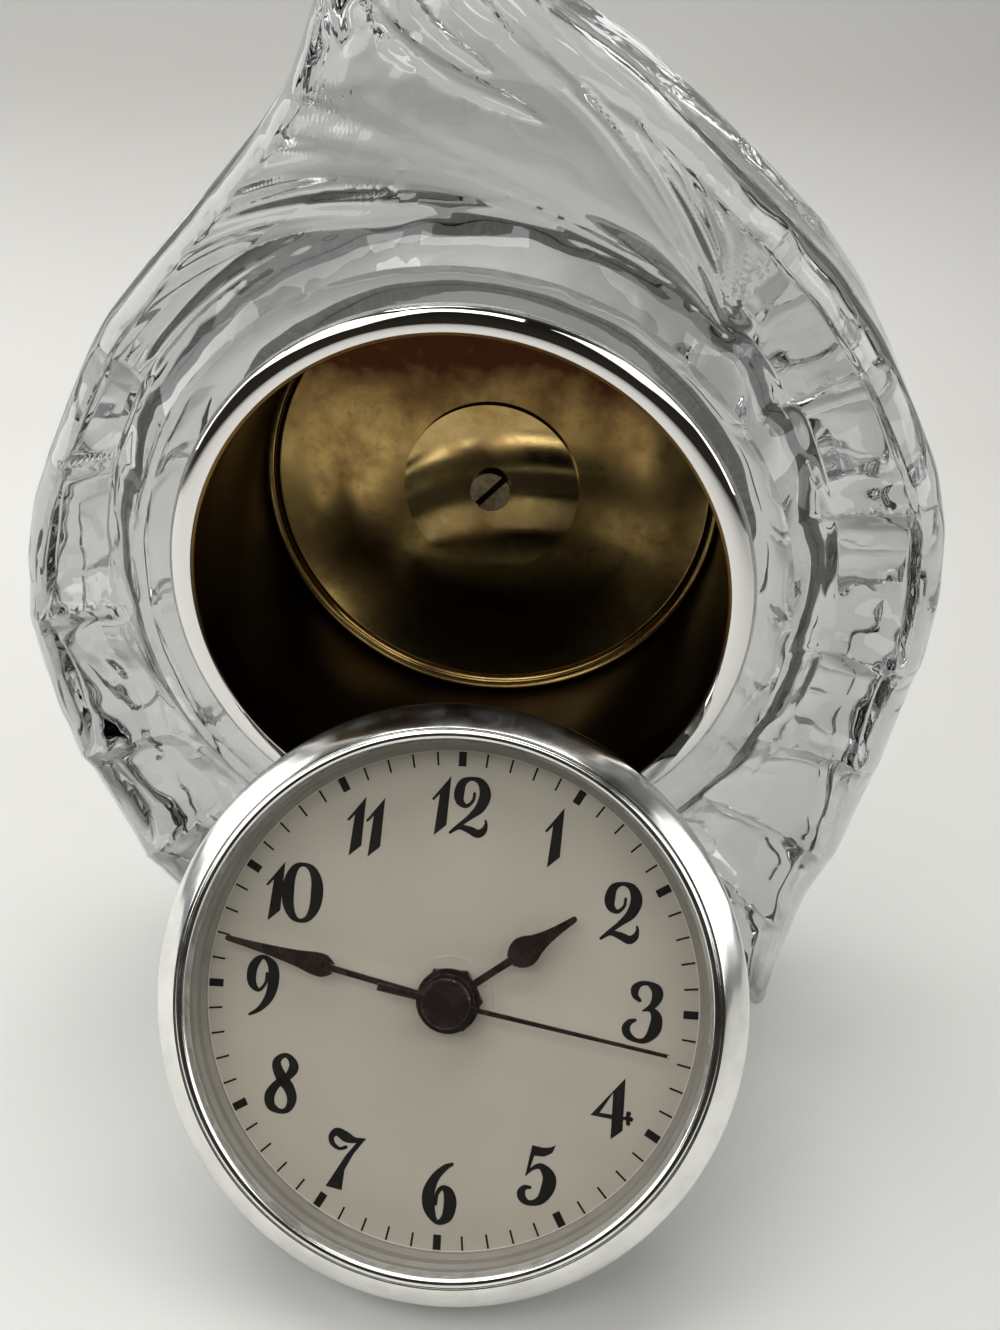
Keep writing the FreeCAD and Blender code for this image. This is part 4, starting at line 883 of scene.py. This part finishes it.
class Print:
    """Flat shapes on the dial, gathered into one mesh of thin ink."""

    def __init__(self):
        self.points = []
        self.faces = []
        self.layers = 0

    def shape(self, outline, strips=None):
        """One closed outline in millimetres, anticlockwise; strips are its faces if not one."""
        level = INK_FLOOR + INK_THICK + LAYER_STEP * (self.layers % LAYERS)
        self.layers += 1
        base = len(self.points)
        count = len(outline)
        sin, cos = math.sin(PRINT_TURN), math.cos(PRINT_TURN)
        laid = [(x * cos - y * sin, x * sin + y * cos) for x, y in outline]
        for height in (level, INK_FLOOR):
            self.points += [(x, y, height) for x, y in laid]
        for face in strips or [tuple(range(count))]:
            self.faces.append(tuple(base + i for i in face))
            self.faces.append(tuple(base + count + i for i in reversed(face)))
        return base, count

    def walls(self, base, count, loops):
        """The ink's edges, round each loop of a shape's points."""
        for loop in loops:
            for i, j in zip(loop, loop[1:] + loop[:1]):
                self.faces.append((base + i, base + count + i, base + count + j, base + j))

    def outline(self, points):
        """One plain shape with its edges."""
        base, count = self.shape(points)
        self.walls(base, count, [list(range(count))])

    def ribbon(self, stroke, move, scale, closed=False):
        """A stroke of changing width with round ends."""
        line = smooth_line(stroke, 10, closed)
        if closed:
            tangent = np.roll(line[:, :2], -1, axis=0) - np.roll(line[:, :2], 1, axis=0)
        else:
            tangent = np.gradient(line[:, :2], axis=0)
        tangent /= np.linalg.norm(tangent, axis=1)[:, None]
        normal = np.stack([-tangent[:, 1], tangent[:, 0]], axis=1)
        half = line[:, 2:3] * STROKE_WEIGHT
        left, right = line[:, :2] + normal * half, line[:, :2] - normal * half
        count = len(line)
        if closed:
            ordered = np.concatenate([right, left])
            pairs = [(i, (i + 1) % count) for i in range(count)]
            strips = [(i, j, count + j, count + i) for i, j in pairs]
            base, total = self.shape(ordered * scale + move, strips)
            inner = list(range(count))
            self.walls(base, total, [inner, [count + i for i in reversed(inner)]])
            return

        def cap(at, facing, wide):
            """The round end of a stroke."""
            middle = math.degrees(math.atan2(facing[1], facing[0]))
            return arc(at, wide, wide, middle - 90, middle + 90, 9)[1:-1]

        end = cap(line[-1, :2], tangent[-1], half[-1, 0])
        begin = cap(line[0, :2], -tangent[0], half[0, 0])
        ordered = np.array([*right, *end, *left[::-1], *begin])
        last = count - 1
        ends = len(end)
        far = 2 * count + ends
        strips = [(i, i + 1, far - 2 - i, far - 1 - i) for i in range(last)]
        strips.append(tuple(range(last, last + ends + 2)))
        strips.append((far - 1, *range(far, far + ends), 0))
        base, total = self.shape(ordered * scale + move, strips)
        self.walls(base, total, [list(range(total))])


def numeral(sheet, digit, left, bottom):
    """Draws one digit with its lower left corner there, in millimetres."""
    drawn = NUMERALS[digit]
    move = np.array((left, bottom))
    for points in drawn.get("solid", ()):
        corners = np.array(points) / 1000 * NUMERAL_TALL + move
        following = np.roll(corners, -1, axis=0)
        area = sum(a[0] * b[1] - b[0] * a[1] for a, b in zip(corners, following))
        sheet.outline([tuple(p) for p in (corners if area > 0 else corners[::-1])])
    for kind in ("stroke", "round"):
        for stroke in drawn.get(kind, ()):
            sheet.ribbon(np.array(stroke) / 1000, move, NUMERAL_TALL, closed=kind == "round")


def dial_print():
    """Hour blocks, minute ticks and numerals in black ink."""
    sheet = Print()
    for minute in range(60):
        near, far, half = MINUTE_TICK if minute % 5 else HOUR_BLOCK
        angle = math.radians(minute * 6)
        out = np.array((math.sin(angle), math.cos(angle)))
        side = np.array((math.cos(angle), -math.sin(angle)))
        sheet.outline([
            tuple(out * reach + side * across)
            for reach, across in ((near, -half), (near, half), (far, half), (far, -half))
        ])
    for hour in range(1, 13):
        digits = str(hour)
        wide = sum(NUMERALS[d]["wide"] / 1000 for d in digits) + NUMERAL_GAP * (len(digits) - 1)
        angle = math.radians(hour * 30)
        left = NUMERAL_RING * math.sin(angle) - wide * NUMERAL_TALL / 2
        bottom = NUMERAL_RING * math.cos(angle) - NUMERAL_TALL / 2
        for digit in digits:
            numeral(sheet, digit, left, bottom)
            left += (NUMERALS[digit]["wide"] / 1000 + NUMERAL_GAP) * NUMERAL_TALL
    piece("dial_print", sheet.points, sheet.faces, INK, "insert", DIAL_PLACE)
    circle = Print()
    steps = 180
    near, far = (arc((0, 0), r, r, 0, 360 - 360 / steps, steps) for r in (CIRCLE_IN, CIRCLE_OUT))
    strips = [(i, steps + i, steps + (i + 1) % steps, (i + 1) % steps) for i in range(steps)]
    base, total = circle.shape(near + far, strips)
    circle.walls(base, total, [[steps + i for i in range(steps)], list(reversed(range(steps)))])
    piece("dial_circle", circle.points, circle.faces, WHITE_INK, "insert", DIAL_PLACE)


dial_print()


# Hands.

HAND_THICK = 0.35
HAND_ROLL = 0.06


def hand(name, level, profile, hub, bore, clock_angle, node, body, tail=None):
    """A stamped hand with rolled edges: hub, stem and bulb in one smooth outline.

    profile is distance from the axis and half width, hub and bore are radii, and tail is the
    length and half width of a counterweight.
    """
    line = smooth_line(profile, 8)
    line = line[line[:, 0] > math.sqrt(max(hub ** 2 - profile[0][1] ** 2, 0)) + 0.05]
    right = [(w, s) for s, w in line]
    left = [(-w, s) for s, w in line[::-1]]
    stem = math.asin(line[0, 1] / hub)

    def round_hub(start, end, steps):
        """Points round the hub from one angle to another."""
        return [(-hub * math.sin(a), hub * math.cos(a)) for a in np.linspace(start, end, steps)]

    if tail:
        length, half = tail
        back = math.asin(half / hub)
        hub_line = [
            *round_hub(stem, math.pi - back, 36), (-half, -length), (half, -length),
            *round_hub(math.pi + back, math.tau - stem, 36),
        ]
    else:
        hub_line = round_hub(stem, math.tau - stem, 72)
    outline = [p for p in right if p[0] > 0] + [p for p in left if p[0] < 0] + hub_line
    made = bpy.data.curves.new(name, "CURVE")
    made.dimensions = "2D"
    made.fill_mode = "BOTH"
    made.extrude = (HAND_THICK / 2 - HAND_ROLL) * MM
    made.bevel_depth = HAND_ROLL * MM
    made.bevel_resolution = 2
    made.offset = -HAND_ROLL * MM
    hole = arc((0, 0), bore, bore, 0, 351, 40)
    for loop in (outline, hole):
        spline = made.splines.new("POLY")
        spline.points.add(len(loop) - 1)
        for point, (x, y) in zip(spline.points, loop):
            point.co = (x * MM, y * MM, 0, 1)
        spline.use_cyclic_u = True
    holder = bpy.data.objects.new(name + "_curve", made)
    scene.collection.objects.link(holder)
    evaluated = holder.evaluated_get(bpy.context.evaluated_depsgraph_get())
    mesh = bpy.data.meshes.new_from_object(evaluated)
    bpy.data.objects.remove(holder)
    turn = Matrix.Rotation(-math.radians(clock_angle), 4, "Z")
    raised = Matrix.Translation((0, 0, (level + HAND_THICK / 2) * MM))
    mesh.transform(DIAL_PLACE @ raised @ turn)
    mesh.materials.clear()
    mesh.materials.append(HAND_LACQUER)
    for polygon in mesh.polygons:
        polygon.use_smooth = True
    mesh.set_sharp_from_angle(angle=math.radians(50))
    shown = bpy.data.objects.new(name, mesh)
    scene.collection.objects.link(shown)
    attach(shown, body)
    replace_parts(shown, node)


hand("hour_spade", 2.1, (
    (0, 0.6), (10.4, 0.6), (11.2, 0.85), (12.1, 1.75), (13.4, 2.3), (14.7, 2.15), (16.2, 1.5),
    (18.2, 0.98), (20.6, 0.66), (22.6, 0.5), (23.05, 0.36), (23.2, 0.1),
), 4.9, 2.27, 53.5, "hour_hand", "hour")
hand("minute_spade", 3.1, (
    (0, 0.5), (17.0, 0.5), (17.9, 0.75), (18.8, 1.4), (19.8, 1.76), (21.3, 1.7), (24, 1.22),
    (28, 0.82), (32, 0.56), (34.8, 0.44), (35.25, 0.32), (35.4, 0.1),
), 4.2, 1.47, 281.7, "minute_hand", "minute")
hand("second_needle", 4.1, (
    (0, 0.42), (10, 0.36), (25, 0.3), (33.3, 0.28), (33.55, 0.18), (33.6, 0.06),
), 2.0, 0.8, 98.9, "second_hand", "second", tail=(10.7, 0.55))


# Stage, lamps and camera.

def stage():
    """Pale paper sweep: a floor that curves up into a backdrop behind the clock."""
    made, tree, shader, place = new_material("paper, matt sweep", {"Roughness": 0.85})
    cloud = grain(tree, place, 160, 2.0, 0.4)
    part = add(tree, "ShaderNodeSeparateXYZ", {}, {"Vector": place})
    plain = mixed(tree, between(tree, cloud, 0, 1), "#D9D8D4", "#D5D4D0")
    # The backdrop is painted with shade: it deepens to grey behind the flame and pales again higher
    # up.
    high = between(tree, part.outputs["Z"], 0, 1, 0.0, 0.4)
    higher = between(tree, part.outputs["Z"], 0, 1, 0.22, 0.4)
    # Towards the right the floor and backdrop are painted with shade.
    right_painted_shade = between(tree, part.outputs["X"], 0, 0.55, 0.02, 0.4)
    shaded = mixed(tree, higher, mixed(tree, high, plain, "#7C7C7B"), plain)
    feed(tree, shader, Base_Color=mixed(tree, right_painted_shade, shaded, "#84837F"))
    # Seen from behind, the paper lets the eye through, so the clock's back shows.
    behind = add(tree, "ShaderNodeNewGeometry").outputs["Backfacing"]
    eye = add(tree, "ShaderNodeLightPath").outputs["Is Camera Ray"]
    open_to_eye = add(
        tree, "ShaderNodeMath", {"operation": "MULTIPLY"}, {0: behind, 1: eye},
    ).outputs[0]
    through = add(tree, "ShaderNodeBsdfTransparent").outputs["BSDF"]
    sided = add(
        tree, "ShaderNodeMixShader", {},
        {"Fac": open_to_eye, 1: shader.outputs["BSDF"], 2: through},
    )
    tree.links.new(sided.outputs["Shader"], tree.nodes["Material Output"].inputs["Surface"])
    # How far back the backdrop stands, the radius of the bend up to it, and half its width.
    wall, bend, half = 420.0, 110.0, 1600.0
    line = [(-1300.0, 0.0), (-600.0, 0.0), (0.0, 0.0), (wall - bend, 0.0)]
    for turn in np.linspace(0.1, math.pi / 2, 14):
        line.append((wall - bend + bend * math.sin(turn), bend - bend * math.cos(turn)))
    line += [(wall, 900.0), (wall, 2400.0)]
    points = [(x, y, z) for y, z in line for x in (-half, half)]
    faces = [(2 * i, 2 * i + 1, 2 * i + 3, 2 * i + 2) for i in range(len(line) - 1)]
    piece("paper_sweep", points, faces, made, None, crease_deg=60)


def softbox(name, at, aim, wide, tall, watts):
    """A soft white lamp at a place, turned to a point, both in metres."""
    lamp = bpy.data.lights.new(name, "AREA")
    lamp.shape = "RECTANGLE"
    lamp.size, lamp.size_y = wide, tall
    lamp.energy = watts
    held = bpy.data.objects.new(name, lamp)
    held.location = at
    held.rotation_euler = (Vector(aim) - Vector(at)).to_track_quat("-Z", "Y").to_euler()
    held.visible_camera = False
    scene.collection.objects.link(held)


def room():
    """The room round the table: pale behind the sweep, darker and warm where the viewer stands."""
    world = bpy.data.worlds.new("room")
    scene.world = world
    world.use_nodes = True
    tree = world.node_tree
    tree.nodes.clear()
    way = add(tree, "ShaderNodeTexCoord").outputs["Generated"]
    part = add(tree, "ShaderNodeSeparateXYZ", {}, {"Vector": way})
    ahead = between(tree, part.outputs["Y"], 0, 1, -0.4, 0.45)
    wall = mixed(tree, ahead, "#2B2723", "#A3A4A5")
    ceiling = mixed(tree, ahead, "#1D1B19", "#7C7D7E")
    above = between(tree, part.outputs["Z"], 0, 1, 0.15, 0.6)
    sky = mixed(tree, above, wall, ceiling)
    eye = add(tree, "ShaderNodeLightPath").outputs["Is Camera Ray"]
    seen = mixed(tree, eye, sky, "#D0CFCB")
    glow = add(tree, "ShaderNodeBackground", {}, {"Color": seen})
    out = add(tree, "ShaderNodeOutputWorld")
    tree.links.new(glow.outputs["Background"], out.inputs["Surface"])


def camera():
    """The photograph's view: 54 mm lens, 29 degrees down and a little from the right."""
    held = bpy.data.cameras.new("view")
    held.sensor_fit = "HORIZONTAL"
    held.sensor_width = 36
    held.lens = 54
    held.clip_start = 0.01
    eye = bpy.data.objects.new("view", held)
    azimuth, pitch = math.radians(6.57), math.radians(29.1)
    forward = Vector((
        -math.sin(azimuth) * math.cos(pitch), math.cos(azimuth) * math.cos(pitch), -math.sin(pitch),
    ))
    eye.location = (0.0308, -0.2357, 0.2002)
    eye.rotation_euler = forward.to_track_quat("-Z", "Y").to_euler()
    scene.collection.objects.link(eye)
    scene.camera = eye


stage()
softbox("left_wall", (-0.85, 0.1, 0.42), (0, -0.04, 0.07), 0.7, 0.55, 3.0)
softbox("right_wall", (0.85, -0.02, 0.42), (0, -0.04, 0.07), 0.6, 0.55, 2.3)
softbox("overhead", (-0.05, 0.12, 0.9), (0, 0.0, 0.08), 0.8, 0.45, 4.9)
softbox("front_top", (-0.1, -0.55, 0.85), (0, -0.03, 0.1), 0.5, 0.25, 1.2)
softbox("front_left", (-0.56, -0.5, 0.72), (0, -0.05, 0.06), 0.8, 0.5, 2.65)
softbox("front_right", (0.62, -0.48, 0.7), (0, -0.05, 0.06), 0.75, 0.5, 2.1)
room()
camera()
scene.view_settings.view_transform = "Standard"
